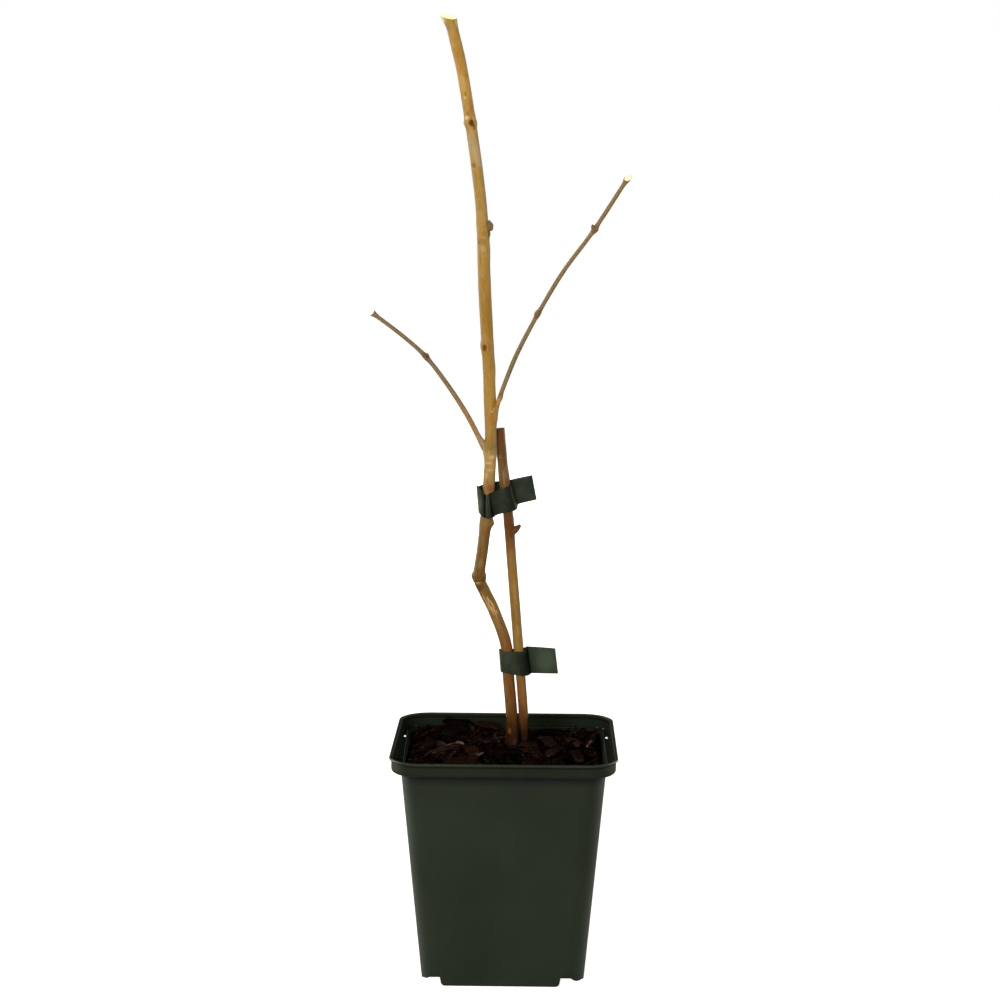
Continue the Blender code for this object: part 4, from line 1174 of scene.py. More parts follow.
def stem_radius(stem, z, share, angle):
    """Radius of a stem at a height and an angle round it, mm."""
    low, high = stem["radii"]
    base = low + (high - low) * share
    for height, size, length in stem.get("swellings", ()):
        base += size * hump(z - height, length)
    for height, where, size, length in stem.get("buds", ()):
        base += size * hump(z - height, length) * hump(turn_between(angle, where), 1.0)
    for height, where, depth, length, width in stem.get("scars", ()):
        base -= depth * hump(z - height, length) * hump(turn_between(angle, where), width)
    if "flare" in stem:
        size, reach, toes = stem["flare"]
        lobes = max(hump(turn_between(angle, toe), 0.9) for toe in toes)
        base += size * exp(-(z - stem["route"][0][2]) / reach) * (0.35 + 0.65 * lobes)
    return base


def bark_relief(stem, z, angle, relief):
    """Ridges along the bark, fine rings across it and a slow unevenness, mm."""
    x, y = cos(angle), sin(angle)
    seed = stem["seed"]
    ridges = noise.noise(Vector((x * 5.5, y * 5.5, z * 0.055 + seed)))
    fine = noise.noise(Vector((x * 12.0, y * 12.0, z * 0.16 + seed * 2.0)))
    slow = noise.noise(Vector((x * 1.2, y * 1.2, z * 0.035 + seed * 3.0)))
    total = relief * (0.8 * ridges + 0.45 * fine + 1.6 * slow)
    for low, high, spacing, height in stem.get("rings", ()):
        if low < z < high:
            fade = min(1.0, (z - low) / 3.0, (high - z) / 3.0)
            wobble = 1.4 * noise.noise(Vector((x * 1.5, y * 1.5, z * 0.4)))
            total += fade * height * sin((z / spacing + wobble) * tau)
    return total


def mark_strength(mark, z, angle, radius):
    """How strongly a mark shows at a place on a stem, and how near the place is to it."""
    height, where, length, width, colour, strength = mark
    across = turn_between(angle, where) * radius
    away = Vector(((z - height) / length, across / width)).length
    away += 0.3 * noise.noise(Vector((z * 0.9 + height, across * 0.9, where * 0.1)))
    share = min(max((1.35 - away) / 0.7, 0.0), 1.0)
    return strength * share * share * (3 - 2 * share), away


def mark_colour(stem, z, angle, radius):
    """Colour of the stem's marks at a place, and how strong it is there."""
    colour, strength = Vector((0.0, 0.0, 0.0)), 0.0
    for mark in stem.get("marks", ()):
        if abs(z - mark[0]) > 3.0 * mark[2]:
            continue
        share, away = mark_strength(mark, z, angle, radius)
        if share > 0.0:
            total = share + strength * (1.0 - share)
            colour = (Vector(mark[4]) * share + colour * strength * (1.0 - share)) / total
            strength = total
        elif strength == 0.0 and away < 3.0:
            colour = Vector(mark[4])
    return (*colour, strength)


def stem_mesh(name, stem, around, relief, step):
    """A tapering stem with bark relief: a grid wrapped round the route and closed at both ends."""
    route = smooth_route(stem["route"], step)
    last = len(route) - 1
    bpy.ops.object.select_all(action="DESELECT")
    bpy.ops.mesh.primitive_grid_add(x_subdivisions=around, y_subdivisions=last, size=1.0)
    item = bpy.context.object
    item.name = name
    item.data.name = name
    low, high = route[0].z, route[-1].z
    cut = stem.get("cut", (0.0, 0.0))
    columns = around + 1
    places, tints = [], []
    for i, centre in enumerate(route):
        tangent = (route[min(i + 1, last)] - route[max(i - 1, 0)]).normalized()
        if stem.get("flat_foot"):
            tangent = Vector((0, 0, 1)).lerp(tangent, min(i * step / 4.0, 1.0)).normalized()
        side = Vector((0, 1, 0)).cross(tangent).normalized()
        back = tangent.cross(side)
        share = (centre.z - low) / (high - low)
        left = (last - i) * step
        for k in range(columns):
            angle = tau * (k % around) / around - pi
            radius = stem_radius(stem, centre.z, share, angle)
            tints.append(mark_colour(stem, centre.z, angle, radius))
            radius += bark_relief(stem, centre.z, angle, relief / MM)
            point = centre + side * (cos(angle) * radius) + back * (sin(angle) * radius)
            near_top = max(0.0, 1.0 - left / 3.0)
            lean = (cut[0] * cos(angle) - cut[1] * sin(angle)) * radius
            point -= tangent * lean * near_top
            places.append(point * MM)
    marks = item.data.color_attributes.new(MARKS, "FLOAT_COLOR", "POINT")
    for vertex, place, mark, tint in zip(item.data.vertices, places, marks.data, tints):
        vertex.co = place
        mark.color = tint
    scale_along_route(item, step * last * MM)
    close_stem(item, stem)
    return item


def scale_along_route(item, length):
    """Make V run in metres along the stem."""
    layer = item.data.uv_layers.active
    for loop in layer.data:
        loop.uv.y *= length


def close_stem(item, stem):
    """Merge the stem's seam and close its ends; the upper end is a fresh cut face."""
    select_only(item)
    bpy.ops.object.mode_set(mode="EDIT")
    bpy.ops.mesh.select_mode(type="EDGE")
    bpy.ops.mesh.select_all(action="SELECT")
    bpy.ops.mesh.remove_doubles(threshold=0.000002)
    bpy.ops.mesh.select_all(action="DESELECT")
    bpy.ops.mesh.select_non_manifold()
    bpy.ops.mesh.edge_face_add()
    bpy.ops.object.mode_set(mode="OBJECT")
    caps = [face for face in item.data.polygons if len(face.vertices) > 4]
    if len(caps) != 2:
        fill_ends(item)
        caps = [face for face in item.data.polygons if len(face.vertices) > 4]
    if len(caps) != 2:
        raise RuntimeError(f"{item.name} has {len(caps)} closed ends")
    top = max(caps, key=lambda face: face.center.z)
    top.material_index = 1
    top_index = top.index
    bpy.ops.object.mode_set(mode="EDIT")
    bpy.ops.mesh.select_mode(type="FACE")
    bpy.ops.mesh.select_all(action="DESELECT")
    bpy.ops.object.mode_set(mode="OBJECT")
    item.data.polygons[top_index].select = True
    bpy.ops.object.mode_set(mode="EDIT")
    edge = stem.get("cut_edge", 0.25)
    bpy.ops.mesh.inset(thickness=edge * MM, depth=-0.08 * MM)
    bpy.ops.mesh.inset(thickness=stem["radii"][1] * 0.62 * MM, depth=0.12 * MM)
    bpy.ops.mesh.poke()
    bpy.ops.mesh.select_all(action="SELECT")
    bpy.ops.mesh.normals_make_consistent(inside=False)
    bpy.ops.object.mode_set(mode="OBJECT")


def fill_ends(item):
    """Close each open ring of a tube with one face."""
    mesh = bmesh.new()
    mesh.from_mesh(item.data)
    edges = [edge for edge in mesh.edges if edge.is_boundary]
    bmesh.ops.holes_fill(mesh, edges=edges, sides=0)
    mesh.to_mesh(item.data)
    mesh.free()


# A stem's swellings: height, size and length. Buds and scars: height, angle round the stem in degrees
# (0 right, -90 front, 180 left), size and length, and a scar's width. Marks in the bark: height, angle,
# half length, half width, colour and strength. Heights and sizes are in mm.
TALL_CANE = {
    "route": TALL_CANE_ROUTE, "radii": (3.38, 3.2), "seed": 1.0, "flat_foot": True,
    "swellings": (
        (549.0, 0.5, 5.0), (492.5, 0.25, 4.0), (434.0, 0.25, 5.0), (394.0, 0.3, 55.0), (364.0, 0.2, 5.0),
        (333.0, 0.25, 14.0), (303.0, 0.35, 5.0), (262.0, 0.3, 5.0), (230.5, 0.75, 3.6),
        (291.0, 0.2, 18.0)),
    "buds": (
        (533.0, 180, 0.3, 12.0), (491.6, 180, 0.6, 2.6), (491.0, -40, 0.7, 2.4), (494.5, -110, 0.4, 1.4),
        (429.0, -5, 0.9, 3.2), (420.0, 0, 0.5, 10.0), (388.0, 180, 0.35, 28.0), (365.0, 180, 0.55, 4.0),
        (364.5, -110, 0.4, 4.5), (352.0, 0, 0.55, 9.0), (262.5, 0, 1.5, 3.2), (230.0, -70, 1.0, 3.0),
        (231.0, 180, 0.6, 2.8), (324.0, 0, 0.5, 7.0), (305.0, 180, 0.8, 6.0), (551.0, 180, 1.5, 3.0)),
    "scars": (
        (491.0, -80, 1.0, 1.5, 0.35), (364.0, -118, 0.8, 1.6, 0.42), (508.0, -90, 0.3, 1.0, 0.5),
        (467.6, -135, 0.5, 1.6, 0.45), (263.0, 10, 0.6, 1.2, 0.35), (230.0, -120, 0.4, 0.7, 1.2),
        (233.6, -90, 0.35, 0.6, 3.0), (227.2, -100, 0.45, 0.6, 1.6), (312.0, -90, 0.15, 0.6, 3.0),
        (327.4, -45, 0.3, 0.5, 1.0), (135.6, -125, 0.9, 2.4, 0.35)),
    "rings": ((268.0, 309.0, 2.1, 0.05), (238.0, 262.0, 2.6, 0.03)),
    "flare": (2.0, 7.0, (200, -40)), "cut": (0.45, 0.48), "cut_edge": 0.45,
    "marks": (
        (217.4, -88, 1.5, 0.35, srgb(222, 178, 124), 0.8), (215.2, -76, 1.5, 0.3, srgb(216, 182, 118), 0.8),
        (213.2, -70, 1.4, 0.3, srgb(206, 176, 96), 0.8), (212.2, -94, 1.3, 0.35, srgb(204, 150, 92), 0.75),
        (210.6, -82, 1.6, 0.35, srgb(222, 176, 118), 0.85), (209.4, -64, 1.2, 0.35, srgb(212, 180, 110), 0.75),
        (214.4, -98, 1.4, 0.4, srgb(112, 72, 20), 0.75), (212.6, -82, 1.3, 0.3, srgb(122, 88, 22), 0.75),
        (216.6, -66, 1.6, 0.35, srgb(112, 78, 24), 0.65), (208.0, -92, 1.8, 0.7, srgb(140, 92, 48), 0.6),
        (550.6, 180, 2.4, 3.0, srgb(246, 238, 176), 0.9), (547.6, -25, 2.6, 1.4, srgb(228, 206, 146), 0.7),
        (544.6, -135, 3.0, 2.2, srgb(146, 118, 80), 0.6), (530.0, -80, 6.0, 2.0, srgb(158, 122, 44), 0.45),
        (514.0, -110, 5.0, 1.6, srgb(196, 160, 92), 0.45), (507.4, -96, 1.1, 0.5, srgb(108, 78, 28), 0.8),
        (505.6, -108, 0.8, 0.9, srgb(208, 184, 128), 0.7), (500.5, -60, 4.0, 1.6, srgb(160, 108, 40), 0.5),
        (496.6, -102, 1.4, 0.7, srgb(170, 100, 38), 0.8), (494.5, -120, 1.1, 1.5, srgb(214, 190, 140), 0.85),
        (493.6, -45, 1.0, 1.4, srgb(190, 160, 104), 0.6), (480.0, -100, 8.0, 2.4, srgb(180, 152, 106), 0.55),
        (491.2, -80, 1.9, 1.5, srgb(88, 46, 12), 0.95), (488.6, -62, 1.4, 0.8, srgb(96, 58, 22), 0.75),
        (490.6, -168, 1.6, 0.8, srgb(214, 184, 124), 0.6), (472.5, -62, 6.0, 2.2, srgb(184, 160, 118), 0.55),
        (467.6, -126, 1.4, 1.4, srgb(116, 78, 32), 0.75), (460.0, -118, 5.0, 1.2, srgb(158, 116, 46), 0.5),
        (446.0, -60, 6.0, 1.8, srgb(172, 136, 74), 0.4), (438.0, -95, 5.0, 2.4, srgb(172, 140, 82), 0.4),
        (434.0, -28, 2.2, 1.2, srgb(140, 120, 76), 0.7), (429.4, -18, 3.4, 1.7, srgb(92, 58, 20), 0.9),
        (429.0, -78, 2.0, 1.1, srgb(150, 112, 52), 0.6), (426.8, -84, 0.35, 1.3, srgb(200, 172, 118), 0.6),
        (424.4, -100, 1.8, 2.2, srgb(146, 112, 56), 0.6), (424.0, -132, 0.7, 0.5, srgb(104, 74, 34), 0.7),
        (420.5, -86, 2.0, 1.6, srgb(190, 160, 108), 0.5), (408.0, -70, 6.0, 1.4, srgb(158, 120, 48), 0.5),
        (380.0, -75, 12.0, 2.2, srgb(150, 106, 36), 0.5), (369.0, -120, 3.0, 1.2, srgb(176, 136, 74), 0.5),
        (364.0, -118, 1.8, 1.5, srgb(100, 52, 8), 0.95), (364.0, -165, 2.6, 1.0, srgb(198, 162, 98), 0.6),
        (363.4, -75, 2.2, 0.8, srgb(150, 96, 34), 0.6), (355.0, -70, 6.0, 2.0, srgb(152, 112, 42), 0.4),
        (331.0, -8, 2.4, 1.6, srgb(208, 156, 70), 0.8), (328.6, -40, 0.45, 1.6, srgb(218, 176, 116), 0.8),
        (327.2, -72, 0.5, 1.2, srgb(210, 166, 106), 0.7), (323.0, -68, 3.4, 1.8, srgb(166, 104, 42), 0.6),
        (307.4, -95, 2.8, 3.6, srgb(138, 110, 50), 0.6), (301.0, -70, 1.0, 1.6, srgb(206, 178, 128), 0.6),
        (297.5, -110, 0.7, 2.2, srgb(204, 174, 124), 0.6), (293.5, -80, 0.6, 2.4, srgb(200, 170, 116), 0.55),
        (290.0, -120, 1.6, 0.5, srgb(208, 180, 130), 0.6), (283.0, -80, 2.2, 1.8, srgb(126, 72, 32), 0.7),
        (286.5, -135, 1.6, 0.8, srgb(168, 128, 76), 0.6), (252.0, -60, 7.0, 1.2, srgb(100, 72, 32), 0.5),
        (244.0, -115, 6.0, 1.0, srgb(104, 72, 30), 0.5), (238.5, -85, 3.0, 1.6, srgb(150, 118, 66), 0.4),
        (230.4, -105, 2.4, 4.0, srgb(98, 68, 26), 0.8), (227.4, -112, 0.45, 1.7, srgb(200, 164, 104), 0.85),
        (224.6, -125, 1.9, 2.4, srgb(88, 56, 20), 0.75), (219.5, -60, 3.4, 1.4, srgb(120, 88, 42), 0.4),
        (216.5, -122, 4.6, 0.35, srgb(206, 170, 96), 0.8), (213.0, -103, 4.8, 0.3, srgb(206, 170, 96), 0.75),
        (209.4, -84, 3.0, 0.3, srgb(198, 160, 88), 0.7), (204.0, -60, 4.0, 0.9, srgb(112, 76, 38), 0.5),
        (165.0, -120, 5.0, 0.8, srgb(132, 88, 42), 0.5), (150.0, -60, 6.0, 0.9, srgb(84, 50, 22), 0.5),
        # The mark at 135.4 mm darkens the dent in the foot there, and the last two marks, long and dark on the right
        # and the left of the foot, are painted shade.
        (139.0, -115, 1.8, 0.8, srgb(134, 82, 34), 0.6), (135.4, -126, 1.7, 1.0, srgb(46, 18, 8), 0.9),
        (133.0, -165, 2.2, 1.4, srgb(56, 40, 28), 0.6), (131.6, -66, 3.0, 1.3, srgb(72, 46, 36), 0.6), (138.0, -6, 12.0, 1.7, srgb(34, 18, 10), 0.9),
        (141.0, -176, 10.0, 1.1, srgb(62, 38, 20), 0.8)),
}
SHORT_CANE = {
    "route": SHORT_CANE_ROUTE, "radii": (2.75, 2.95), "seed": 4.0, "flat_foot": True,
    "swellings": ((288.0, 0.35, 7.0), (262.0, 0.2, 8.0), (190.0, 0.1, 10.0)),
    "buds": ((285.5, -60, 0.5, 4.0),),
    "scars": ((284.0, -90, 0.3, 1.2, 0.8),),
    "rings": ((278.0, 297.0, 1.9, 0.05),),
    "flare": (-0.9, 6.0, (0, 90, 180, 270)),
    "marks": (
        (293.0, -42, 4.6, 0.4, srgb(150, 120, 82), 0.55), (288.5, -92, 4.6, 0.5, srgb(152, 124, 80), 0.55),
        (291.0, -70, 3.0, 0.35, srgb(150, 118, 84), 0.6), (284.5, -35, 2.6, 0.8, srgb(140, 108, 72), 0.5),
        (300.5, -110, 1.2, 0.8, srgb(146, 104, 66), 0.5), (297.0, -60, 2.2, 0.8, srgb(88, 50, 22), 0.6),
        (258.0, -60, 4.0, 1.4, srgb(92, 52, 22), 0.6), (246.0, -20, 8.0, 1.0, srgb(104, 70, 30), 0.5),
        (236.0, -150, 10.0, 1.0, srgb(108, 74, 32), 0.5), (222.0, -80, 7.0, 0.9, srgb(164, 128, 70), 0.5),
        (206.0, -110, 6.0, 0.8, srgb(120, 84, 36), 0.5), (199.0, -75, 3.0, 1.0, srgb(166, 132, 74), 0.45),
        (160.0, -70, 8.0, 0.9, srgb(150, 104, 52), 0.5), (148.0, -110, 7.0, 0.9, srgb(92, 58, 26), 0.5),
        # The last two marks, long and dark on the left and the right of the foot, are painted shade.
        (134.8, -82, 1.8, 0.9, srgb(44, 34, 25), 0.6), (135.0, -160, 9.0, 1.3, srgb(26, 17, 10), 0.85),
        (136.0, -14, 10.0, 1.4, srgb(28, 20, 10), 0.85)),
}
LEFT_SHOOT = {
    "route": LEFT_SHOOT_ROUTE, "radii": (1.5, 1.12), "seed": 7.0,
    "swellings": ((305.5, 1.0, 6.0), (357.6, 0.45, 2.4), (383.0, 0.75, 2.6)),
    "buds": ((357.8, 60, 0.6, 2.4),),
    "cut": (0.1, 0.9), "cut_edge": 0.2,
    "marks": ((357.6, -90, 2.2, 1.6, srgb(104, 78, 46), 0.7), (308.5, -90, 4.0, 2.0, srgb(164, 136, 100), 0.6)),
}
RIGHT_SHOOT = {
    "route": RIGHT_SHOOT_ROUTE, "radii": (1.3, 1.12), "seed": 9.0,
    "swellings": ((321.0, 1.2, 9.0), (383.8, 0.4, 2.6), (432.2, 0.45, 2.6), (460.3, 0.75, 3.0)),
    "buds": ((335.5, -10, 0.55, 2.8), (432.4, -20, 0.6, 2.6), (384.0, 160, 0.5, 2.6)),
    "cut": (-0.35, 0.9), "cut_edge": 0.2,
    "marks": ((383.8, -90, 2.0, 1.6, srgb(112, 78, 44), 0.7), (432.2, -90, 2.0, 1.6, srgb(112, 80, 46), 0.7),
              (333.5, -90, 2.2, 1.4, srgb(196, 140, 66), 0.7), (338.0, -60, 1.4, 0.9, srgb(128, 84, 44), 0.6)),
}


def make_stem(name, stem, settings, around, step, materials, slot, node):
    """Build a stem and let it stand for its CAD node."""
    item = stem_mesh(name, stem, around, settings.relief * stem.get("relief", 1.0), step)
    for material in materials:
        item.data.materials.append(material)
    if len(materials) > 2:
        for face in item.data.polygons:
            if face.material_index == 0 and face.center.z < (POT_HEIGHT + 12.0) * MM:
                face.material_index = 2
    smooth_faces(item, radians(60))
    keep_piece(item, slot, node)
    return item


def tall_bark(gloss):
    """Bark of the tall cane: red-brown foot, olive below the swollen bend, pale rings, ochre above."""
    stops = (
        (0.128, srgb(28, 17, 10)), (0.134, srgb(38, 23, 13)), (0.139, srgb(58, 35, 18)), (0.146, srgb(90, 55, 22)),
        (0.153, srgb(112, 69, 27)), (0.168, srgb(118, 74, 30)),
        (0.190, srgb(126, 80, 36)), (0.1965, srgb(130, 90, 44)), (0.202, srgb(138, 103, 54)), (0.211, srgb(142, 106, 56)),
        (0.222, srgb(122, 88, 40)), (0.232, srgb(108, 77, 32)), (0.246, srgb(122, 90, 44)),
        (0.262, srgb(130, 96, 48)), (0.280, srgb(146, 108, 56)), (0.290, srgb(168, 132, 76)),
        (0.300, srgb(174, 138, 80)), (0.305, srgb(150, 120, 60)), (0.312, srgb(160, 122, 56)),
        (0.345, srgb(170, 128, 56)), (0.379, srgb(158, 116, 44)), (0.398, srgb(166, 122, 52)),
        (0.414, srgb(172, 132, 64)), (0.448, srgb(170, 130, 60)), (0.475, srgb(174, 136, 72)),
        (0.490, srgb(174, 132, 62)), (0.515, srgb(184, 138, 62)), (0.552, srgb(176, 132, 60)),
    )
    return bark_material("tall_cane_bark", stops, 0.4, srgb(84, 52, 22), gloss=gloss)


def short_bark(gloss):
    """Bark of the short cane: red-brown at the top and under the upper tie, ochre below."""
    stops = (
        (0.128, srgb(22, 15, 9)), (0.134, srgb(26, 17, 10)), (0.139, srgb(50, 32, 17)), (0.146, srgb(94, 60, 27)),
        (0.157, srgb(127, 80, 35)),
        (0.175, srgb(134, 92, 40)), (0.194, srgb(144, 109, 49)), (0.228, srgb(144, 104, 46)),
        (0.242, srgb(138, 98, 44)), (0.250, srgb(120, 78, 36)), (0.256, srgb(101, 60, 25)),
        (0.267, srgb(98, 57, 23)), (0.277, srgb(106, 68, 32)), (0.290, srgb(110, 80, 42)),
        (0.297, srgb(112, 76, 38)), (0.303, srgb(104, 65, 26)), (0.318, srgb(100, 61, 24)),
    )
    return bark_material("short_cane_bark", stops, 0.45, srgb(60, 34, 16), 0.6, gloss=gloss)


def shoot_bark():
    """Thin bark of the side shoots: tan at the trunk, greyer outwards."""
    stops = ((0.300, srgb(158, 128, 86)), (0.322, srgb(158, 118, 64)), (0.340, srgb(140, 114, 74)),
             (0.356, srgb(132, 110, 76)), (0.400, srgb(138, 108, 68)), (0.460, srgb(140, 114, 74)))
    return bark_material("shoot_bark", stops, 0.45, srgb(74, 48, 28), 0.7)


class BRAMBLE_OT_canes(Operator):
    """The tall cane with its swollen bend, and the short cane that is cut off level"""

    bl_idname = "bramble.canes"
    bl_label = "Canes"

    def execute(self, context):
        settings = context.scene.bramble_canes
        # The fresh cut glows: a painted highlight.
        cut = cut_wood_material(tuple(settings.cut), 0.75)
        old_cut = cut_wood_material(srgb(104, 84, 60))
        make_stem("tall_cane_stem", TALL_CANE, settings, settings.around, 0.5,
                  (tall_bark(0.05), cut, tall_bark(0.0)), "cane", "tall_cane")
        make_stem("short_cane_stem", SHORT_CANE, settings, settings.around, 0.5,
                  (short_bark(0.05), old_cut, short_bark(0.0)), "old_cane", "short_cane")
        return {"FINISHED"}


class BRAMBLE_OT_shoots(Operator):
    """The two side shoots with their swollen buds and pale cut tips"""

    bl_idname = "bramble.shoots"
    bl_label = "Side shoots"

    def execute(self, context):
        settings = context.scene.bramble_canes
        around = max(12, settings.around // 2)
        # The fresh cuts glow: a painted highlight.
        cut = cut_wood_material(tuple(settings.cut), 0.3)
        bark = shoot_bark()
        make_stem("left_shoot_stem", LEFT_SHOOT, settings, around, 0.5, (bark, cut),
                  "shoot", "left_shoot")
        make_stem("right_shoot_stem", RIGHT_SHOOT, settings, around, 0.5, (bark, cut),
                  "shoot", "right_shoot")
        return {"FINISHED"}


# Buds: name, place in mm, direction it points, length, radius, slot
BUDS = (
    ("bud_upper", (-10.2, 3.4, 433.4), (-0.14, -0.15, 1.0), 6.0, 1.95, "cane"),
    ("bud_left_shoot", (-46.4, 11.4, 358.6), (-0.25, -0.5, 0.8), 3.2, 1.05, "shoot"),
    ("bud_right_shoot_low", (18.6, -10.4, 384.9), (0.5, -0.4, 0.75), 3.0, 1.0, "shoot"),
    ("bud_right_shoot_high", (48.0, -21.2, 433.4), (-0.2, -0.5, 0.85), 3.2, 1.1, "shoot"),
    ("bud_lower", (-8.4, 2.2, 262.8), (0.8, -0.3, 0.3), 2.6, 1.3, "cane"),
)


def bud_mesh(name, place, direction, length, radius):
    """A pointed bud wrapped in scales, from a sphere stretched along its axis."""
    bpy.ops.object.select_all(action="DESELECT")
    bpy.ops.mesh.primitive_uv_sphere_add(segments=24, ring_count=16, radius=1.0)
    item = bpy.context.object
    item.name = name
    turn = Vector((0, 0, 1)).rotation_difference(Vector(direction).normalized()).to_matrix()
    for vertex in item.data.vertices:
        x, y, z = vertex.co
        angle = atan2(y, x)
        taper = 1.0 - 0.45 * max(z, 0.0) ** 1.5
        scales = 1.0 + 0.07 * sin(angle * 3 + z * 5.0) + 0.05 * sin(z * 14.0)
        local = Vector((x * radius * taper * scales, y * radius * taper * scales,
                        z * length / 2 * (1.0 + 0.15 * max(z, 0.0))))
        vertex.co = (Vector(place) + turn @ local) * MM
    return item


class BRAMBLE_OT_buds(Operator):
    """Buds at the joints, and the stub of a leaf stalk on the short cane"""

    bl_idname = "bramble.buds"
    bl_label = "Buds and stub"

    def execute(self, context):
        scales = bark_material("bud_scales", (
            (0.250, srgb(138, 102, 58)), (0.270, srgb(138, 102, 58)), (0.350, srgb(108, 78, 44)),
            (0.425, srgb(118, 94, 54)), (0.438, srgb(128, 112, 72)), (0.460, srgb(110, 82, 48))),
            0.5, srgb(74, 50, 28), 0.8, False)
        for name, place, direction, length, radius, slot in BUDS:
            bud = bud_mesh(name, place, direction, length, radius)
            bud.data.materials.append(scales)
            smooth_faces(bud, radians(60))
            keep_piece(bud, slot)
        stub = {"route": ((2.2, 5.0, 256.4), (5.4, 4.7, 258.0), (8.3, 4.4, 260.6)),
                "radii": (2.9, 0.75), "seed": 12.0, "cut_edge": 0.1}
        settings = context.scene.bramble_canes
        item = stem_mesh("leaf_stalk_stub", stub, 24, settings.relief, 0.35)
        stub_bark = bark_material("stub_bark", ((0.254, srgb(112, 64, 28)), (0.263, srgb(86, 60, 38))),
                                  0.5, srgb(50, 30, 18), 1.0, False)
        item.data.materials.append(stub_bark)
        item.data.materials.append(stub_bark)
        smooth_faces(item, radians(60))
        keep_piece(item, "old_cane")
        return {"FINISHED"}


def smooth_outline(points, parts):
    """A smooth flat line through points, with so many parts between each two."""
    ends = [2 * points[0] - points[1]] + points + [2 * points[-1] - points[-2]]
    line = []
    for a, b, c, d in zip(ends, ends[1:], ends[2:], ends[3:]):
        for i in range(parts):
            t = i / parts
            line.append(0.5 * (2 * b + (c - a) * t + (2 * a - 5 * b + 4 * c - d) * t ** 2
                               + (3 * b - a - 3 * c + d) * t ** 3))
    line.append(points[-1])
    return line


def tie_strip(name, columns, thickness):
    """A plastic strip laid round both canes: a grid through its columns, then thickened."""
    line = smooth_outline([Vector(column[:5]) for column in columns], 6)
    tones = smooth_outline([Vector((column[5], 0.0, 0.0)) for column in columns], 6)
    levels = 14
    places = []
    for level in range(levels + 1):
        share = level / levels
        belly = 0.25 * sin(pi * share)
        for x_low, z_low, x_high, z_high, y in line:
            places.append(Vector((x_low + (x_high - x_low) * share, y - belly,
                                  z_low + (z_high - z_low) * share)) * MM)
    bpy.ops.object.select_all(action="DESELECT")
    bpy.ops.mesh.primitive_grid_add(x_subdivisions=len(line) - 1, y_subdivisions=levels, size=1.0)
    item = bpy.context.object
    item.name = name
    for vertex, place in zip(item.data.vertices, places):
        vertex.co = place
    solid = item.modifiers.new("Thickness", "SOLIDIFY")
    solid.thickness = thickness
    solid.offset = 0.0
    edges = item.modifiers.new("Soft edges", "BEVEL")
    edges.width = 0.12 * MM
    edges.segments = 2
    edges.limit_method = "ANGLE"
    edges.angle_limit = radians(60)
    apply_modifiers(item)
    outward_normals(item)
    tree = KDTree(len(places))
    for number, place in enumerate(places):
        tree.insert(place, number)
    tree.balance()
    # Each vertex takes the tone of its place along the strip: painted shade and light.
    painted_light_tones = item.data.color_attributes.new(MARKS, "FLOAT_COLOR", "POINT")
    for vertex in item.data.vertices:
        tone = max(tones[tree.find(vertex.co)[1] % len(line)].x, 0.1)
        painted_light_tones.data[vertex.index].color = (tone, tone, tone, 1.0)
    return item


class BRAMBLE_OT_ties(Operator):
    """The two green plastic strips that hold the canes together"""

    bl_idname = "bramble.ties"
    bl_label = "Ties"

    def execute(self, context):
        settings = context.scene.bramble_ties
        # Each strip: name, columns, CAD node, a tone for its plastic, and the place of its painted highlight.
        strips = (
            ("upper_tie_strip", UPPER_TIE_COLUMNS, "upper_tie", 0.86, (-15.2, -2.0, 274.5, 5.0)),
            ("lower_tie_strip", LOWER_TIE_COLUMNS, "lower_tie", 1.0, (24.0, 2.5, 181.0, 10.0)),
        )
        for name, columns, node, tone, painted_light in strips:
            strip = tie_strip(name, columns, settings.thickness)
            colour = tuple(channel * tone for channel in settings.colour)
            strip.data.materials.append(tie_material(f"{node}_plastic", colour, painted_light))
            smooth_faces(strip, radians(35))
            keep_piece(strip, "tie", node)
        return {"FINISHED"}


# How bright the floor looks to the camera beyond the light that falls on it, and where it turns white
FLOOR_GLOW = 0.95
FLOOR_FADE = (0.6, 2.2)
# Light from all round; the camera sees white there instead
SKY_LIGHT = 0.05
# Lamps: name, place in metres, size in metres, watts, and where it shows; one that only shows as
# gloss takes on the tint of a pale wall
GLOSS_TINT = (0.93, 1.0, 0.74)
LAMPS = (
    ("key", (-0.8, -2.5, 0.9), 1.0, 58.0, "both"),
    ("fill", (1.5, -2.2, 0.7), 1.2, 13.0, "both"),
    ("left_edge", (-1.9, 0.7, 0.5), 2.0, 350.0, "gloss"),
    ("right_edge", (1.9, 0.8, 0.5), 2.0, 230.0, "gloss"),
    ("back_fill", (0.0, 2.4, 1.0), 1.4, 26.0, "diffuse"),
    ("rim_gloss", (0.0, -0.5, 1.6), 0.9, 16.0, "gloss"),
)


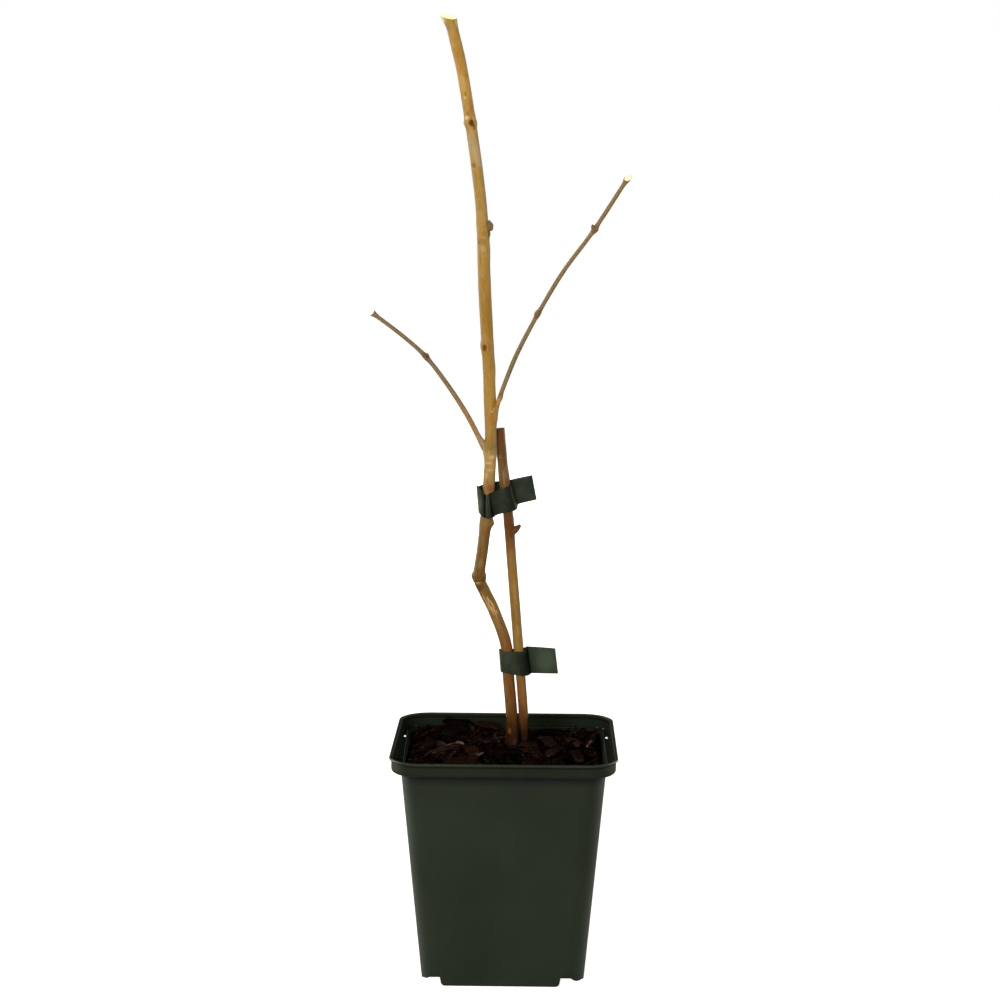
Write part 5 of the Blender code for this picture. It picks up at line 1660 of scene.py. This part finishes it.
class BRAMBLE_OT_stage(Operator):
    """Pale floor, soft studio light and the photograph's camera"""

    bl_idname = "bramble.stage"
    bl_label = "Stage"

    def execute(self, context):
        settings = context.scene.bramble_stage
        self.make_floor(tuple(settings.floor))
        for name, place, size, watts, shows in LAMPS:
            self.make_lamp(name, place, size, watts * settings.light, shows)
        self.make_world(context.scene)
        self.make_camera(context.scene)
        context.scene.view_settings.view_transform = "Standard"
        return {"FINISHED"}

    def make_floor(self, colour):
        bpy.ops.object.select_all(action="DESELECT")
        bpy.ops.mesh.primitive_plane_add(size=14.0, location=(0, 0, 0))
        floor = bpy.context.object
        floor.name = "floor"
        material, tree, shader = new_material("pale_floor", 0.9)
        shader.inputs["Base Color"].default_value = (*colour, 1.0)
        shader.inputs["Specular IOR Level"].default_value = 0.0
        shader.inputs["Emission Color"].default_value = (1.0, 1.0, 1.0, 1.0)
        away = add_node(tree, "ShaderNodeVectorMath", {"operation": "LENGTH"}, i0=object_place(tree))
        far = mask(tree, away.outputs["Value"], *FLOOR_FADE)
        glow = math_node(tree, "ADD", math_node(tree, "MULTIPLY", far, 1.0 - FLOOR_GLOW), FLOOR_GLOW)
        path = tree.nodes.new("ShaderNodeLightPath")
        seen = math_node(tree, "MULTIPLY", path.outputs["Is Camera Ray"], glow)
        tree.links.new(seen, shader.inputs["Emission Strength"])
        floor.data.materials.append(material)

    def make_lamp(self, name, place, size, watts, shows):
        data = bpy.data.lights.new(name, "AREA")
        data.shape = "SQUARE"
        data.size = size
        data.energy = watts
        if shows == "gloss":
            data.color = GLOSS_TINT
        lamp = bpy.data.objects.new(name, data)
        lamp.location = place
        aim = Vector((0, 0, 0.25)) - Vector(place)
        lamp.rotation_euler = aim.to_track_quat("-Z", "Y").to_euler()
        lamp.visible_diffuse = shows != "gloss"
        lamp.visible_glossy = shows != "diffuse"
        bpy.context.scene.collection.objects.link(lamp)

    def make_world(self, scene):
        """Soft grey light all round; the camera itself sees a white surround."""
        world = bpy.data.worlds.new("studio")
        world.use_nodes = True
        tree = world.node_tree
        light = tree.nodes["Background"]
        light.inputs["Color"].default_value = (1.0, 1.0, 1.0, 1.0)
        light.inputs["Strength"].default_value = SKY_LIGHT
        white = tree.nodes.new("ShaderNodeBackground")
        white.inputs["Color"].default_value = (1.0, 1.0, 1.0, 1.0)
        white.inputs["Strength"].default_value = 1.0
        path = tree.nodes.new("ShaderNodeLightPath")
        mix = tree.nodes.new("ShaderNodeMixShader")
        tree.links.new(path.outputs["Is Camera Ray"], mix.inputs[0])
        tree.links.new(light.outputs[0], mix.inputs[1])
        tree.links.new(white.outputs[0], mix.inputs[2])
        tree.links.new(mix.outputs[0], tree.nodes["World Output"].inputs[0])
        scene.world = world

    def make_camera(self, scene):
        """The camera that the photograph's view gives."""
        data = bpy.data.cameras.new("camera")
        data.lens = CAMERA_LENS
        data.sensor_width = 36.0
        camera = bpy.data.objects.new("camera", data)
        turn = Matrix.Rotation(radians(CAMERA_YAW), 4, "Z")
        tip = Matrix.Rotation(radians(90.0 - CAMERA_PITCH), 4, "X")
        roll = Matrix.Rotation(radians(CAMERA_ROLL), 4, "Z")
        camera.matrix_world = Matrix.Translation(Vector(CAMERA_PLACE) * MM) @ turn @ tip @ roll
        scene.collection.objects.link(camera)
        scene.camera = camera


OPERATORS = (
    BRAMBLE_OT_pot, BRAMBLE_OT_compost, BRAMBLE_OT_mulch, BRAMBLE_OT_canes, BRAMBLE_OT_shoots,
    BRAMBLE_OT_buds, BRAMBLE_OT_ties, BRAMBLE_OT_stage,
)
GROUPS = {
    "bramble_pot": BRAMBLE_PG_pot,
    "bramble_mulch": BRAMBLE_PG_mulch,
    "bramble_canes": BRAMBLE_PG_canes,
    "bramble_ties": BRAMBLE_PG_ties,
    "bramble_stage": BRAMBLE_PG_stage,
}


class BRAMBLE_PT_panel(Panel):
    """Lists the plant's settings and pieces"""

    bl_label = "Potted Bramble"
    bl_space_type = "VIEW_3D"
    bl_region_type = "UI"
    bl_category = "Bramble"

    def draw(self, context):
        layout = self.layout
        for name, group in GROUPS.items():
            settings = getattr(context.scene, name)
            column = layout.box().column()
            for field in group.__annotations__:
                column.prop(settings, field)
        for operator in OPERATORS:
            layout.operator(operator.bl_idname)


CLASSES = (*GROUPS.values(), *OPERATORS, BRAMBLE_PT_panel)


def register():
    for kind in CLASSES:
        bpy.utils.register_class(kind)
    for name, group in GROUPS.items():
        setattr(bpy.types.Scene, name, PointerProperty(type=group))


def unregister():
    for name in GROUPS:
        delattr(bpy.types.Scene, name)
    for kind in reversed(CLASSES):
        bpy.utils.unregister_class(kind)


def main():
    register()
    for operator in OPERATORS:
        group, name = operator.bl_idname.split(".")
        getattr(getattr(bpy.ops, group), name)()


if __name__ == "__main__":
    main()
